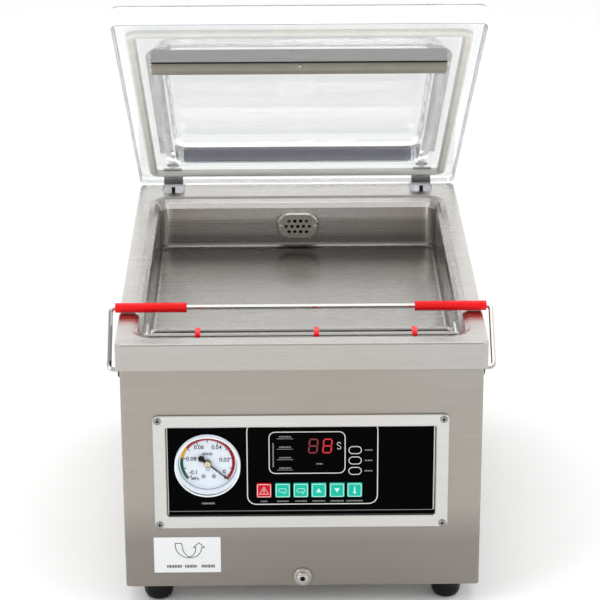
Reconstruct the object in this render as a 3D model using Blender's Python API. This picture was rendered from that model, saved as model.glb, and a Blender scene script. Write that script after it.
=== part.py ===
"""Countertop chamber vacuum packing machine, as separate pieces on their joint axes.

Metres, +Z up, front towards -Y. Pieces are drawn in the machine's own frame, whose Y = 0 is the
middle of the chamber flange and Z = 0 the ground. The empty "axis_base" then centres the whole
object on the world origin. The lid is drawn closed and the bail upright: their empties hold
them at rest, the lid open and the bail lying back on the flange.
"""

from math import cos, pi, radians, sin, tau

import bmesh
import bpy
from mathutils import Matrix, Vector

MM = 0.001
GAP = 0.3 * MM  # left between pieces that touch
OVER = 10 * MM  # a cut reaches this far past what it cuts

# Body
FOOT_HEIGHT = 22 * MM
TOP = 262 * MM  # height of the flange's top face
FLANGE_X = 165 * MM  # half width
FLANGE_Y = 225 * MM  # half depth
LIP = 25 * MM  # the flange's lip hangs down this far
BODY_X = 161.5 * MM
BODY_FRONT = -221 * MM
BODY_REAR = 219.5 * MM
SHEET = 1.2 * MM
TRAY_SHEET = 1.5 * MM
PAN_SHEET = 2 * MM

# Chamber, measured between its walls
CHAMBER_X = 141.5 * MM
CHAMBER_FRONT = -200 * MM
CHAMBER_REAR = 175 * MM
CHAMBER_DEPTH = 52 * MM
CHAMBER_CORNER = 12 * MM
ROLL_OUT = 10 * MM  # where the walls turn out into the flange
ROLL_DOWN = 10 * MM
FLOOR_FILLET = 4 * MM

# Lid, drawn closed
LID_OPEN = radians(35.8)
LID_AXIS_Y = 218 * MM
LID_AXIS_Z = TOP - 8 * MM
LID_UNDER = TOP + 6 * MM
LID_THICK = 19.2 * MM
LID_FRONT = -228 * MM
LID_REAR = 226 * MM
LID_EDGE = 2 * MM  # the rounding of the upper edge, whose middle is LID_BREAK in from both faces
LID_BREAK = 0.6 * MM
DOME_RISE = 14 * MM
RECESS_X = 124 * MM
RECESS_FRONT = -150 * MM
RECESS_REAR = 158 * MM
RECESS_DEPTH = 19 * MM
GASKET_X = 153.5 * MM
GASKET_FRONT = -217.2 * MM
GASKET_REAR = 187 * MM
GASKET_WIDTH = 8.5 * MM
GASKET_CORNER = 12 * MM

# Sealing
BAR_LENGTH = 266 * MM
BAR_Y = -162 * MM
BAR_WIDTH = 14 * MM
HEATING_BAR_TOP = TOP - 22.5 * MM
CYLINDER_X = 95 * MM

# Lid hinges
HINGE_X = 129.2 * MM
LEAF_HALF = 9.8 * MM
LEAF_LOW = TOP - 16 * MM
EYE_RADIUS = 4.5 * MM
PIN_RADIUS = 2.5 * MM
PIN_HOLE = 2.9 * MM
SLOT_HALF = 11.6 * MM
SLOT_Y = (196.5 * MM, 221.5 * MM)
BRACKET_FRONT = 195 * MM
BRACKET_REAR = 222.5 * MM
BRACKET_SHEET = 1.5 * MM

# Bail
BAIL_Y = -193 * MM
BAIL_Z = TOP - 36.5 * MM
BAIL_LEG_X = 172.5 * MM
BAIL_REACH = 61.85 * MM
BAIL_LEAN = radians(48.06)
BAIL_WIRE = 2.4 * MM  # radius of its wire
BAIL_HOLE = 4.2 * MM
GRIP_RADIUS = 4.5 * MM
GRIP_INNER_X = 103.5 * MM

# Bag clamp
CLAMP_WIRE = 2 * MM  # radius of its wire
CLAMP_Y = -195.2 * MM
CLAMP_Z = TOP - 3 * MM
CLAMP_REACH = 10.4 * MM
CLAMP_X = 134 * MM
CLAMP_BRACKET_X = (136.4 * MM, 138 * MM)
SLEEVE_X = (-92.3 * MM, 13.4 * MM, 100.9 * MM)
SLEEVE_HALF = 2.3 * MM
SLEEVE_ROUND = 2.8 * MM

# Control panel
PANEL_LEFT = -133.5 * MM
PANEL_RIGHT = 131.5 * MM
PANEL_LOW = TOP - 180.5 * MM
PANEL_HIGH = TOP - 69.7 * MM
PANEL_BORDER = 11.5 * MM
PLATE_FRONT = BODY_FRONT + 2.5 * MM
PLATE_THICK = 2 * MM
KEYS = {
    "key_start": -34.5 * MM,
    "key_vacuum_time": -17.6 * MM,
    "key_seal_time": -1.2 * MM,
    "key_up": 14.9 * MM,
    "key_down": 31.4 * MM,
    "key_temperature": 47.3 * MM,
}
KEY_Z = TOP - 145 * MM
KEY_WIDTH = 13.6 * MM
KEY_HEIGHT = 14.1 * MM
KEY_FRONT = PLATE_FRONT - 1.1 * MM
DISPLAY_X = (-29.1 * MM, 38.1 * MM)
DISPLAY_Z = (TOP - 127.9 * MM, TOP - 88.2 * MM)
GAUGE_X = -85 * MM
GAUGE_Z = TOP - 119.1 * MM
GAUGE_RADIUS = 29.6 * MM
NEEDLE_REST = radians(-41)  # from the right, seen from the front

# Inside the body
FLOOR = FOOT_HEIGHT + PAN_SHEET + GAP  # what stands on the pan starts here
PUMP_X = -20 * MM
PUMP_HALF = 55 * MM
PUMP_SHOULDER = 118 * MM
PUMP_TOP = 148 * MM
MOTOR_Z = 96 * MM
PORT_Z = TOP - 27.8 * MM
PORT_BORE = 6.5 * MM
PORT_DROP_Y = 204.5 * MM
HOSE_Z = 172 * MM
HOSE_TOP = 208 * MM
INLET_X = -112 * MM
INLET_Z = 88 * MM
SCREW_Z = FOOT_HEIGHT + 8.5 * MM

# The housing tips back on this axis
TIP_AXIS_Y = 222.8 * MM
TIP_AXIS_Z = 34.5 * MM

# The lid's upper rear edge, open, is the rearmost point: the whole is centred between it and the lip.
REAR_REACH = (
    LID_AXIS_Y
    + (LID_REAR - LID_BREAK - LID_AXIS_Y) * cos(LID_OPEN)
    + (LID_UNDER + LID_THICK - LID_BREAK - LID_AXIS_Z) * sin(LID_OPEN)
)
MIDDLE_Y = -(REAR_REACH - FLANGE_Y) / 2

# Each moving group: its parent group, its axis and how far it is turned about X at rest
GROUPS = {
    "base": (None, (0, 0, 0), 0),
    "shell": ("base", (0, TIP_AXIS_Y, TIP_AXIS_Z), 0),
    "lid": ("shell", (0, LID_AXIS_Y, LID_AXIS_Z), -LID_OPEN),
    "bail": ("shell", (0, BAIL_Y, BAIL_Z), -BAIL_LEAN),
    "bag_clamp": ("shell", (0, CLAMP_Y, CLAMP_Z), 0),
    "seal_bar": ("shell", (0, BAR_Y, HEATING_BAR_TOP), 0),
    "needle": ("shell", (GAUGE_X, PLATE_FRONT, GAUGE_Z), 0),
}
GROUPS.update({name: ("shell", (x, KEY_FRONT, KEY_Z), 0) for name, x in KEYS.items()})

# Colour, metallic, roughness
MATERIALS = {
    "brushed_steel": ((0.62, 0.60, 0.57), 1.0, 0.38),
    "satin_steel": ((0.66, 0.65, 0.63), 1.0, 0.32),
    "bright_steel": ((0.72, 0.72, 0.71), 1.0, 0.2),
    "aluminium": ((0.78, 0.78, 0.76), 1.0, 0.35),
    "cast_iron": ((0.16, 0.22, 0.28), 0.3, 0.6),
    "black_plastic": ((0.015, 0.015, 0.017), 0.0, 0.4),
    "clear_acrylic": ((0.86, 0.92, 0.95), 0.0, 0.05),
    "white_silicone": ((0.8, 0.77, 0.7), 0.0, 0.6),
    "brown_silicone": ((0.25, 0.2, 0.1), 0.0, 0.7),
    "red_plastic": ((0.75, 0.03, 0.04), 0.0, 0.35),
    "teal_key": ((0.03, 0.5, 0.38), 0.0, 0.45),
    "rubber": ((0.02, 0.02, 0.02), 0.0, 0.8),
    "circuit_green": ((0.02, 0.2, 0.08), 0.0, 0.5),
    "copper": ((0.6, 0.28, 0.12), 0.8, 0.4),
    "dial_white": ((0.85, 0.85, 0.83), 0.0, 0.5),
}


# ---------------------------------------------------------------- scene and groups


def clear_scene():
    for item in list(bpy.data.objects):
        bpy.data.objects.remove(item, do_unlink=True)


def make_material(name):
    colour, metallic, roughness = MATERIALS[name]
    material = bpy.data.materials.new(name)
    material.use_nodes = True
    shader = material.node_tree.nodes["Principled BSDF"]
    shader.inputs["Base Color"].default_value = (*colour, 1.0)
    shader.inputs["Metallic"].default_value = metallic
    shader.inputs["Roughness"].default_value = roughness
    return material


def make_groups():
    """One empty per moving group, on its joint's axis, parented in a chain."""
    for name, (parent, axis, turn) in GROUPS.items():
        empty = bpy.data.objects.new("axis_" + name, None)
        bpy.context.scene.collection.objects.link(empty)
        if parent is None:
            empty.location = (0, MIDDLE_Y, 0)
        else:
            empty.parent = bpy.data.objects["axis_" + parent]
            empty.location = Vector(axis) - Vector(GROUPS[parent][1])
        empty.rotation_euler.x = turn


def add_object(name, shape, group):
    """Links a mesh drawn in the machine's frame, hung on its group's empty."""
    mesh = bpy.data.meshes.new(name)
    shape.to_mesh(mesh)
    shape.free()
    item = bpy.data.objects.new(name, mesh)
    bpy.context.scene.collection.objects.link(item)
    item.parent = bpy.data.objects["axis_" + group]
    item.location = -Vector(GROUPS[group][1])
    return item


def piece(name, shape, material, group):
    item = add_object(name, shape, group)
    item.data.materials.append(bpy.data.materials[material])
    item.data.shade_smooth()
    item.data.set_sharp_from_angle(angle=radians(35))
    return item


def combine(item, shape, operation="DIFFERENCE"):
    """Cuts a shape out of a piece, or joins it on."""
    tool = add_object(f"{item.name}_tool_{len(item.modifiers)}", shape, item.parent.name[5:])
    tool.hide_render = True
    tool.display_type = "WIRE"
    modifier = item.modifiers.new(operation.lower(), "BOOLEAN")
    modifier.object = tool
    modifier.operation = operation


def soften(item, width, segments=1):
    """Bevels a piece's sharp edges."""
    modifier = item.modifiers.new("edges", "BEVEL")
    modifier.width = width
    modifier.segments = segments
    modifier.limit_method = "ANGLE"
    modifier.angle_limit = radians(40)


# ---------------------------------------------------------------- shapes


def loft(rings, closed=False):
    """Skins a row of equal point rings; the ends are capped unless the row closes on itself."""
    shape = bmesh.new()
    loops = [[shape.verts.new(point) for point in ring] for ring in rings]
    pairs = list(zip(loops, loops[1:]))
    if closed:
        pairs.append((loops[-1], loops[0]))
    else:
        shape.faces.new(loops[0])
        shape.faces.new(loops[-1])
    for low, high in pairs:
        for i in range(len(low)):
            j = (i + 1) % len(low)
            shape.faces.new((low[i], low[j], high[j], high[i]))
    bmesh.ops.recalc_face_normals(shape, faces=shape.faces)
    return shape


def revolve(profile, sides, centre=(0, 0, 0), axis="Z"):
    """A turned body from (radius, height) points, which start and end on the axis or close in a ring."""
    shape = bmesh.new()
    loops = []
    for radius, height in profile:
        turns = 1 if radius == 0 else sides
        angles = [tau * i / turns for i in range(turns)]
        loops.append([shape.verts.new((radius * cos(a), radius * sin(a), height)) for a in angles])
    pairs = list(zip(loops, loops[1:]))
    if profile[0][0] > 0:
        pairs.append((loops[-1], loops[0]))
    for low, high in pairs:
        for i in range(sides):
            j = (i + 1) % sides
            corners = (low[i % len(low)], low[j % len(low)], high[j % len(high)], high[i % len(high)])
            shape.faces.new(list(dict.fromkeys(corners)))
    bmesh.ops.recalc_face_normals(shape, faces=shape.faces)
    turn = {"X": Matrix.Rotation(pi / 2, 4, "Y"), "Y": Matrix.Rotation(-pi / 2, 4, "X")}
    shape.transform(Matrix.Translation(centre) @ turn.get(axis, Matrix.Identity(4)))
    return shape


def disc(radius, low, high, sides, centre=(0, 0, 0), axis="Z"):
    return revolve([(0, low), (radius, low), (radius, high), (0, high)], sides, centre, axis)


def prism(outline, low, high, axis):
    """An outline drawn across an axis and extruded along it from low to high."""
    place = {
        "X": lambda u, v, w: (w, u, v),
        "Y": lambda u, v, w: (u, w, v),
        "Z": lambda u, v, w: (u, v, w),
    }[axis]
    return loft([[place(u, v, level) for u, v in outline] for level in (low, high)])


def block(x, y, z):
    return prism([(x[0], y[0]), (x[1], y[0]), (x[1], y[1]), (x[0], y[1])], z[0], z[1], "Z")


def rectangle(x, y, corner, steps=6):
    """A rounded rectangle's points, counterclockwise."""
    points = []
    middles = ((x[1], y[1]), (x[0], y[1]), (x[0], y[0]), (x[1], y[0]))
    for quarter, (corner_x, corner_y) in enumerate(middles):
        middle_x = corner_x - corner if corner_x == x[1] else corner_x + corner
        middle_y = corner_y - corner if corner_y == y[1] else corner_y + corner
        for step in range(steps + 1):
            angle = pi / 2 * (quarter + step / steps)
            points.append((middle_x + corner * cos(angle), middle_y + corner * sin(angle)))
    return points


def ring(half_x, front, rear, corner, z, steps=6):
    return [(x, y, z) for x, y in rectangle((-half_x, half_x), (front, rear), corner, steps)]


def fillet_path(corners, radius, steps):
    """The route through corner points, each inner corner rounded to a radius."""
    points = [Vector(corners[0])]
    for before, here, after in zip(corners, corners[1:], corners[2:]):
        here = Vector(here)
        back = (Vector(before) - here).normalized()
        ahead = (Vector(after) - here).normalized()
        half = back.angle(ahead) / 2
        if pi / 2 - half < 0.01:
            points.append(here)
            continue
        reach = radius * cos(half) / sin(half)
        centre = here + (back + ahead).normalized() * (radius / sin(half))
        start = here + back * reach - centre
        end = here + ahead * reach - centre
        span = start.angle(end)
        for step in range(steps + 1):
            share = step / steps
            arc = start * sin((1 - share) * span) + end * sin(share * span)
            points.append(centre + arc / sin(span))
    points.append(Vector(corners[-1]))
    return points


def sweep(path, radius, sides, bore=None):
    """A round bar along a path, or a tube where a bore radius is given."""
    points = [Vector(point) for point in path]
    last = len(points) - 1
    first_way = points[1] - points[0]
    normal = first_way.orthogonal().normalized()
    frames = []
    for i, point in enumerate(points):
        way = (points[min(i + 1, last)] - points[max(i - 1, 0)]).normalized()
        normal = (normal - way * normal.dot(way)).normalized()
        frames.append((point, normal.copy(), way.cross(normal)))

    def around(size):
        turns = [tau * i / sides for i in range(sides)]
        return [[p + (n * cos(a) + s * sin(a)) * size for a in turns] for p, n, s in frames]

    outer = around(radius)
    if bore is None:
        return loft(outer)
    return loft(outer + around(bore)[::-1], closed=True)


def sheet_outline(path, thickness):
    """The closed outline of a folded sheet, from its middle line in plan."""
    left, right = [], []
    last = len(path) - 1
    for i, point in enumerate(path):
        ways = []
        if i > 0:
            ways.append((point - path[i - 1]).normalized())
        if i < last:
            ways.append((path[i + 1] - point).normalized())
        way = sum(ways, Vector((0, 0, 0))).normalized()
        side = Vector((-way.y, way.x, 0)) * (thickness / 2 / max(way.dot(ways[0]), 0.5))
        left.append((point + side).xy[:])
        right.append((point - side).xy[:])
    return left + right[::-1]


def together(*shapes):
    """Several separate shapes in one mesh, for cutting."""
    whole = bmesh.new()
    for shape in shapes:
        mesh = bpy.data.meshes.new("part_of_tool")
        shape.to_mesh(mesh)
        shape.free()
        whole.from_mesh(mesh)
        bpy.data.meshes.remove(mesh)
    return whole


# ---------------------------------------------------------------- base


def make_base_pan():
    outer, inner = BODY_X - SHEET - 0.5 * MM, BODY_X - SHEET - 0.5 * MM - PAN_SHEET
    front = BODY_FRONT + SHEET + 0.5 * MM
    rim = FOOT_HEIGHT + 18 * MM
    floor = FOOT_HEIGHT + PAN_SHEET
    inner_front, inner_rear = front + PAN_SHEET, BODY_REAR - PAN_SHEET
    pan = piece(
        "base_pan",
        loft(
            [
                ring(outer, front, BODY_REAR, 4 * MM, FOOT_HEIGHT, 3),
                ring(outer, front, BODY_REAR, 4 * MM, rim, 3),
                ring(inner, inner_front, inner_rear, 2 * MM, rim, 3),
                ring(inner, inner_front, inner_rear, 2 * MM, floor, 3),
            ]
        ),
        "satin_steel",
        "base",
    )
    # the rear edge is lower, below the hinge; the notch lets the housing screw lift out
    over = rim + OVER
    rear_cut = (inner_rear - 3.5 * MM, BODY_REAR + OVER)
    combine(pan, block((-BODY_X, BODY_X), rear_cut, (TIP_AXIS_Z - 0.5 * MM, over)))
    notch = (front - OVER, inner_front + OVER)
    combine(pan, block((-3.2 * MM, 3.2 * MM), notch, (SCREW_Z - 3.3 * MM, over)))
    slots = []
    for row in (-150 * MM, 150 * MM):
        for column in range(-2, 3):
            middle = column * 24 * MM
            x, y = (middle - 3 * MM, middle + 3 * MM), (row - 22 * MM, row + 22 * MM)
            slots.append(prism(rectangle(x, y, 2.9 * MM, 2), FOOT_HEIGHT - OVER, floor + OVER, "Z"))
    combine(pan, together(*slots))


def make_feet():
    top = FOOT_HEIGHT - GAP
    profile = [
        (0, 5 * MM),
        (4.5 * MM, 5 * MM),
        (4.5 * MM, 0),
        (8.5 * MM, 0),
        (11.5 * MM, 2 * MM),
        (13.3 * MM, 6 * MM),
        (14 * MM, 12 * MM),
        (14 * MM, top),
        (0, top),
    ]
    for side, x in (("left", -133 * MM), ("right", 133 * MM)):
        for end, y in (("front", -196 * MM), ("rear", 186 * MM)):
            piece(f"foot_{end}_{side}", revolve(profile, 16, (x, y, 0)), "rubber", "base")


def make_pump():
    left, right = PUMP_X - PUMP_HALF, PUMP_X + PUMP_HALF
    outline = [
        (left, FLOOR),
        (right, FLOOR),
        (right, PUMP_SHOULDER),
        (right - 16 * MM, PUMP_TOP),
        (left + 16 * MM, PUMP_TOP),
        (left, PUMP_SHOULDER),
    ]
    pump = piece("pump_body", prism(outline, -95 * MM, 5 * MM, "Y"), "cast_iron", "base")
    inlet_z = (PUMP_TOP - 8 * MM, HOSE_Z + 14 * MM)
    combine(pump, block((PUMP_X - 16 * MM, PUMP_X + 16 * MM), (-60 * MM, 2 * MM), inlet_z), "UNION")
    combine(pump, disc(11 * MM, -10 * MM, 15 * MM, 16, (PUMP_X, 0, HOSE_Z), "Y"), "UNION")
    soften(pump, 2.5 * MM)


def make_motor():
    fins, points = 22, []
    for i in range(fins):
        for radius, share in ((51, 0.0), (56, 0.08), (56, 0.42), (51, 0.5)):
            angle = tau * (i + share) / fins
            points.append((PUMP_X + radius * MM * cos(angle), MOTOR_Z + radius * MM * sin(angle)))
    motor = piece("pump_motor", prism(points, 5 * MM + GAP, 125 * MM, "Y"), "cast_iron", "base")
    stand = block((PUMP_X - 38 * MM, PUMP_X + 38 * MM), (25 * MM, 105 * MM), (FLOOR, MOTOR_Z - 36 * MM))
    combine(motor, stand, "UNION")
    cover = [
        (0, 42 * MM),
        (0, 39 * MM),
        (50 * MM, 39 * MM),
        (56 * MM, 33 * MM),
        (56 * MM, 0),
        (58 * MM, 0),
        (58 * MM, 34 * MM),
        (51 * MM, 42 * MM),
    ]
    centre = (PUMP_X, 125 * MM + GAP, MOTOR_Z)
    piece("motor_fan_cover", revolve(cover[1:] + cover[:1], 24, centre, "Y"), "black_plastic", "base")


def make_exhaust_filter():
    x = (PUMP_X + PUMP_HALF + GAP, PUMP_X + 97 * MM)
    z = (62 * MM, 140 * MM)
    filter_box = piece("exhaust_filter", block(x, (-88 * MM, 0), z), "aluminium", "base")
    soften(filter_box, 5 * MM, 2)


def make_transformer():
    middle_x, middle_y = 108 * MM, 105 * MM
    x = (middle_x - 32 * MM, middle_x + 32 * MM)
    y = (middle_y - 16 * MM, middle_y + 16 * MM)
    core = piece("transformer_core", block(x, y, (FLOOR, FLOOR + 56 * MM)), "cast_iron", "base")
    window_z = (FLOOR + 12 * MM, FLOOR + 44 * MM)
    combine(core, block((x[0] + 12 * MM, x[1] - 12 * MM), (y[0] - OVER, y[1] + OVER), window_z))
    coil = block(
        (x[0] + 12 * MM + GAP, x[1] - 12 * MM - GAP),
        (y[0] - 10 * MM, y[1] + 10 * MM),
        (window_z[0] + GAP, window_z[1] - GAP),
    )
    soften(piece("transformer_coil", coil, "copper", "base"), 4 * MM, 2)


def make_tip_hinge():
    """The long hinge at the lower rear edge: one leaf on the pan, one on the rear panel, and its pin."""
    leaf_y = (BODY_REAR + GAP, BODY_REAR + GAP + 1.2 * MM)
    barrel, knuckle, half_width = 2.8 * MM, 28 * MM, 70 * MM
    centre = (0, TIP_AXIS_Y, TIP_AXIS_Z)
    starts = [-half_width + i * knuckle for i in range(5)]

    def leaf(name, low, high, group, mine):
        body = piece(name, block((-half_width, half_width), leaf_y, (low, high)), "satin_steel", group)
        for start in starts[mine::2]:
            knuckle_body = disc(barrel, start + GAP, start + knuckle - GAP, 12, centre, "X")
            combine(body, knuckle_body, "UNION")
        for start in starts[1 - mine :: 2]:
            clear = disc(barrel + 0.4 * MM, start - GAP, start + knuckle + GAP, 12, centre, "X")
            combine(body, clear)
        bore = half_width + OVER
        combine(body, disc(1.8 * MM, -bore, bore, 12, centre, "X"))

    leaf("tip_hinge_base_leaf", TIP_AXIS_Z - 12 * MM, TIP_AXIS_Z - 0.7 * MM, "base", 1)
    leaf("tip_hinge_housing_leaf", TIP_AXIS_Z + 0.7 * MM, TIP_AXIS_Z + 18 * MM, "shell", 0)
    pin = disc(1.4 * MM, -half_width - 1.5 * MM, half_width + 1.5 * MM, 12, centre, "X")
    piece("tip_hinge_pin", pin, "bright_steel", "shell")


# ---------------------------------------------------------------- housing


def make_housing():
    side = BODY_X - SHEET / 2
    front = BODY_FRONT + SHEET / 2
    rear = BODY_REAR - SHEET - GAP - SHEET / 2
    corners = [
        (-side + 14 * MM, rear, 0),
        (-side, rear, 0),
        (-side, front, 0),
        (side, front, 0),
        (side, rear, 0),
        (side - 14 * MM, rear, 0),
    ]
    outline = sheet_outline(fillet_path(corners, 3.5 * MM, 4), SHEET)
    wall_top = TOP - TRAY_SHEET - GAP
    housing = piece("housing", prism(outline, FOOT_HEIGHT, wall_top, "Z"), "brushed_steel", "shell")
    opening = rectangle(
        (PANEL_LEFT + PANEL_BORDER - 3 * MM, PANEL_RIGHT - PANEL_BORDER + 3 * MM),
        (PANEL_LOW + PANEL_BORDER - 3 * MM, PANEL_HIGH - PANEL_BORDER + 3 * MM),
        3 * MM,
        2,
    )
    combine(housing, prism(opening, BODY_FRONT - OVER, BODY_FRONT + OVER, "Y"))
    holes = [disc(3 * MM, -OVER, OVER, 12, (0, BODY_FRONT, SCREW_Z), "Y")]
    for x in (-BODY_X, BODY_X):
        holes.append(disc(BAIL_HOLE, -OVER, OVER, 12, (x, BAIL_Y, BAIL_Z), "X"))
    combine(housing, together(*holes))
    rear_foot = (BODY_REAR - 6.5 * MM, BODY_REAR + OVER)
    combine(housing, block((-BODY_X - OVER, BODY_X + OVER), rear_foot, (0, TIP_AXIS_Z + 2.5 * MM)))


def make_rear_panel():
    low, high = TIP_AXIS_Z + 2.5 * MM, TOP - TRAY_SHEET - GAP
    half = BODY_X - 2 * MM
    y = (BODY_REAR - SHEET, BODY_REAR)
    panel = piece("rear_panel", block((-half, half), y, (low, high)), "brushed_steel", "shell")
    through = (BODY_REAR - OVER, BODY_REAR + OVER)
    vents = []
    for row in range(6):
        z = (66 + row * 12) * MM
        outline = rectangle((PUMP_X - 48 * MM, PUMP_X + 48 * MM), (z, z + 4 * MM), 1.9 * MM, 2)
        vents.append(prism(outline, *through, "Y"))
    socket_z = (INLET_Z - 14 * MM, INLET_Z + 14 * MM)
    socket = block((INLET_X - 24 * MM, INLET_X + 24 * MM), through, socket_z)
    combine(panel, together(*vents, socket))
    notches = []  # room for the lid hinges, hidden behind the lip
    for x in (-HINGE_X, HINGE_X):
        notches.append(block((x - 14 * MM, x + 14 * MM), through, (TOP - 23.5 * MM, TOP)))
    combine(panel, together(*notches))


def make_mains_inlet():

    def about(half_x, y, half_z):
        return block((INLET_X - half_x, INLET_X + half_x), y, (INLET_Z - half_z, INLET_Z + half_z))

    flange = about(29 * MM, (BODY_REAR + GAP, BODY_REAR + 2.8 * MM), 17 * MM)
    inlet = piece("mains_inlet", flange, "black_plastic", "shell")
    combine(inlet, about(23 * MM, (BODY_REAR - 25.5 * MM, BODY_REAR + 1 * MM), 13 * MM), "UNION")
    combine(inlet, about(13 * MM, (BODY_REAR - 15.5 * MM, BODY_REAR + OVER), 8.5 * MM))


def make_housing_screw():
    """The cap screw in its cup washer, with the captive nut behind the pan's notch."""
    inner_face = BODY_FRONT + SHEET + 0.5 * MM + PAN_SHEET
    profile = [
        (0, -3.8 * MM),
        (2.8 * MM, -3.7 * MM),
        (5 * MM, -2.9 * MM),
        (5.2 * MM, -2.1 * MM),
        (7.6 * MM, -2.3 * MM),
        (9 * MM, -GAP),
        (2.5 * MM, -GAP),
        (2.5 * MM, inner_face - BODY_FRONT + 0.6 * MM),
        (5 * MM, inner_face - BODY_FRONT + 0.6 * MM),
        (5 * MM, inner_face - BODY_FRONT + 4.6 * MM),
        (0, inner_face - BODY_FRONT + 4.6 * MM),
    ]
    piece("housing_screw", revolve(profile, 16, (0, BODY_FRONT, SCREW_Z), "Y"), "bright_steel", "shell")


# ---------------------------------------------------------------- chamber


def chamber_ring(outset, z):
    corner = CHAMBER_CORNER + outset
    return ring(CHAMBER_X + outset, CHAMBER_FRONT - outset, CHAMBER_REAR + outset, corner, TOP + z)


def make_chamber_tray():
    quarter = [radians(angle) for angle in (0, 30, 60, 90)]
    sheet = TRAY_SHEET
    inner_x, inner_y = FLANGE_X - sheet, FLANGE_Y - sheet
    upper = [
        ring(FLANGE_X, -FLANGE_Y, FLANGE_Y, 6 * MM, TOP - LIP),
        ring(FLANGE_X, -FLANGE_Y, FLANGE_Y, 6 * MM, TOP - 1.6 * MM),
        ring(FLANGE_X - 0.5 * MM, -FLANGE_Y + 0.5 * MM, FLANGE_Y - 0.5 * MM, 5.5 * MM, TOP - 0.5 * MM),
        ring(FLANGE_X - 1.6 * MM, -FLANGE_Y + 1.6 * MM, FLANGE_Y - 1.6 * MM, 4.4 * MM, TOP),
    ]
    upper += [chamber_ring(ROLL_OUT * (1 - sin(a)), -ROLL_DOWN * (1 - cos(a))) for a in quarter]
    floor_z = -CHAMBER_DEPTH
    for a in quarter:
        upper.append(chamber_ring(-FLOOR_FILLET * (1 - cos(a)), floor_z + FLOOR_FILLET * (1 - sin(a))))
    under_fillet = FLOOR_FILLET + sheet
    lower = [
        chamber_ring(sheet - under_fillet * (1 - cos(a)), floor_z - sheet + under_fillet * (1 - sin(a)))
        for a in quarter[::-1]
    ]
    under_out, under_down = ROLL_OUT - sheet, ROLL_DOWN - sheet
    lower += [
        chamber_ring(sheet + under_out * (1 - sin(a)), -sheet - under_down * (1 - cos(a)))
        for a in quarter[::-1]
    ]
    lower += [
        ring(inner_x, -inner_y, inner_y, 4.5 * MM, TOP - sheet),
        ring(inner_x, -inner_y, inner_y, 4.5 * MM, TOP - LIP),
    ]
    tray = piece("chamber_tray", loft(upper[::-1] + lower[::-1]), "satin_steel", "shell")
    slots = []
    for x in (-HINGE_X, HINGE_X):
        slots.append(block((x - SLOT_HALF, x + SLOT_HALF), SLOT_Y, (TOP - 4 * MM, TOP + 4 * MM)))
    port = disc(PORT_BORE, -OVER, OVER, 16, (0, CHAMBER_REAR, PORT_Z), "Y")
    combine(tray, together(*slots, port))


def make_suction_elbow():
    wall = CHAMBER_REAR + TRAY_SHEET + GAP
    corners = [(0, wall, PORT_Z), (0, PORT_DROP_Y, PORT_Z), (0, PORT_DROP_Y, HOSE_TOP)]
    elbow = sweep(fillet_path(corners, 11 * MM, 4), PORT_BORE + 2 * MM, 12, PORT_BORE)
    piece("suction_elbow", elbow, "black_plastic", "shell")


def make_vacuum_hose():
    start = (PUMP_X, 15 * MM + GAP, HOSE_Z)
    corners = [start, (PUMP_X, 60 * MM, HOSE_Z), (0, 130 * MM, HOSE_Z), (0, PORT_DROP_Y, HOSE_Z)]
    corners.append((0, PORT_DROP_Y, HOSE_TOP - GAP))
    hose = sweep(fillet_path(corners, 24 * MM, 5), PORT_BORE + 1.5 * MM, 10)
    piece("vacuum_hose", hose, "rubber", "base")


def make_suction_cover():
    """An oblong pan, open towards the wall, with thirteen holes in its face."""
    half_x, half_z, wall, proud = 22 * MM, 14.2 * MM, 1.2 * MM, 7 * MM
    back = CHAMBER_REAR - GAP

    def outline(inset, y):
        corner = half_z - inset - 0.01 * MM
        x = (-half_x + inset, half_x - inset)
        z = (PORT_Z - half_z + inset, PORT_Z + half_z - inset)
        return [(u, y, v) for u, v in rectangle(x, z, corner, 5)]

    rings = [
        outline(wall, back - proud + wall),
        outline(wall, back),
        outline(0, back),
        outline(0, back - proud + 1.5 * MM),
        outline(1.5 * MM, back - proud),
    ]
    cover = piece("suction_cover", loft(rings), "satin_steel", "shell")
    holes = []
    for row, count in enumerate((4, 5, 4)):
        for i in range(count):
            x = (i - (count - 1) / 2) * 6 * MM
            z = PORT_Z + (row - 1) * 5.8 * MM
            holes.append(disc(1.9 * MM, -12 * MM, -4 * MM, 8, (x, back, z), "Y"))
    combine(cover, together(*holes))


def make_lift_cylinders():
    floor = TOP - CHAMBER_DEPTH + GAP
    profile = [
        (0, 0),
        (12 * MM, 0),
        (12 * MM, 2.5 * MM),
        (10 * MM, 4 * MM),
        (10 * MM, 16 * MM),
        (4.5 * MM, 16 * MM),
        (4.5 * MM, 0.8 * MM),
        (0, 0.8 * MM),
    ]
    for side, x in (("left", -CYLINDER_X), ("right", CYLINDER_X)):
        piece(f"lift_cylinder_{side}", revolve(profile, 16, (x, BAR_Y, floor)), "aluminium", "shell")


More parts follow.
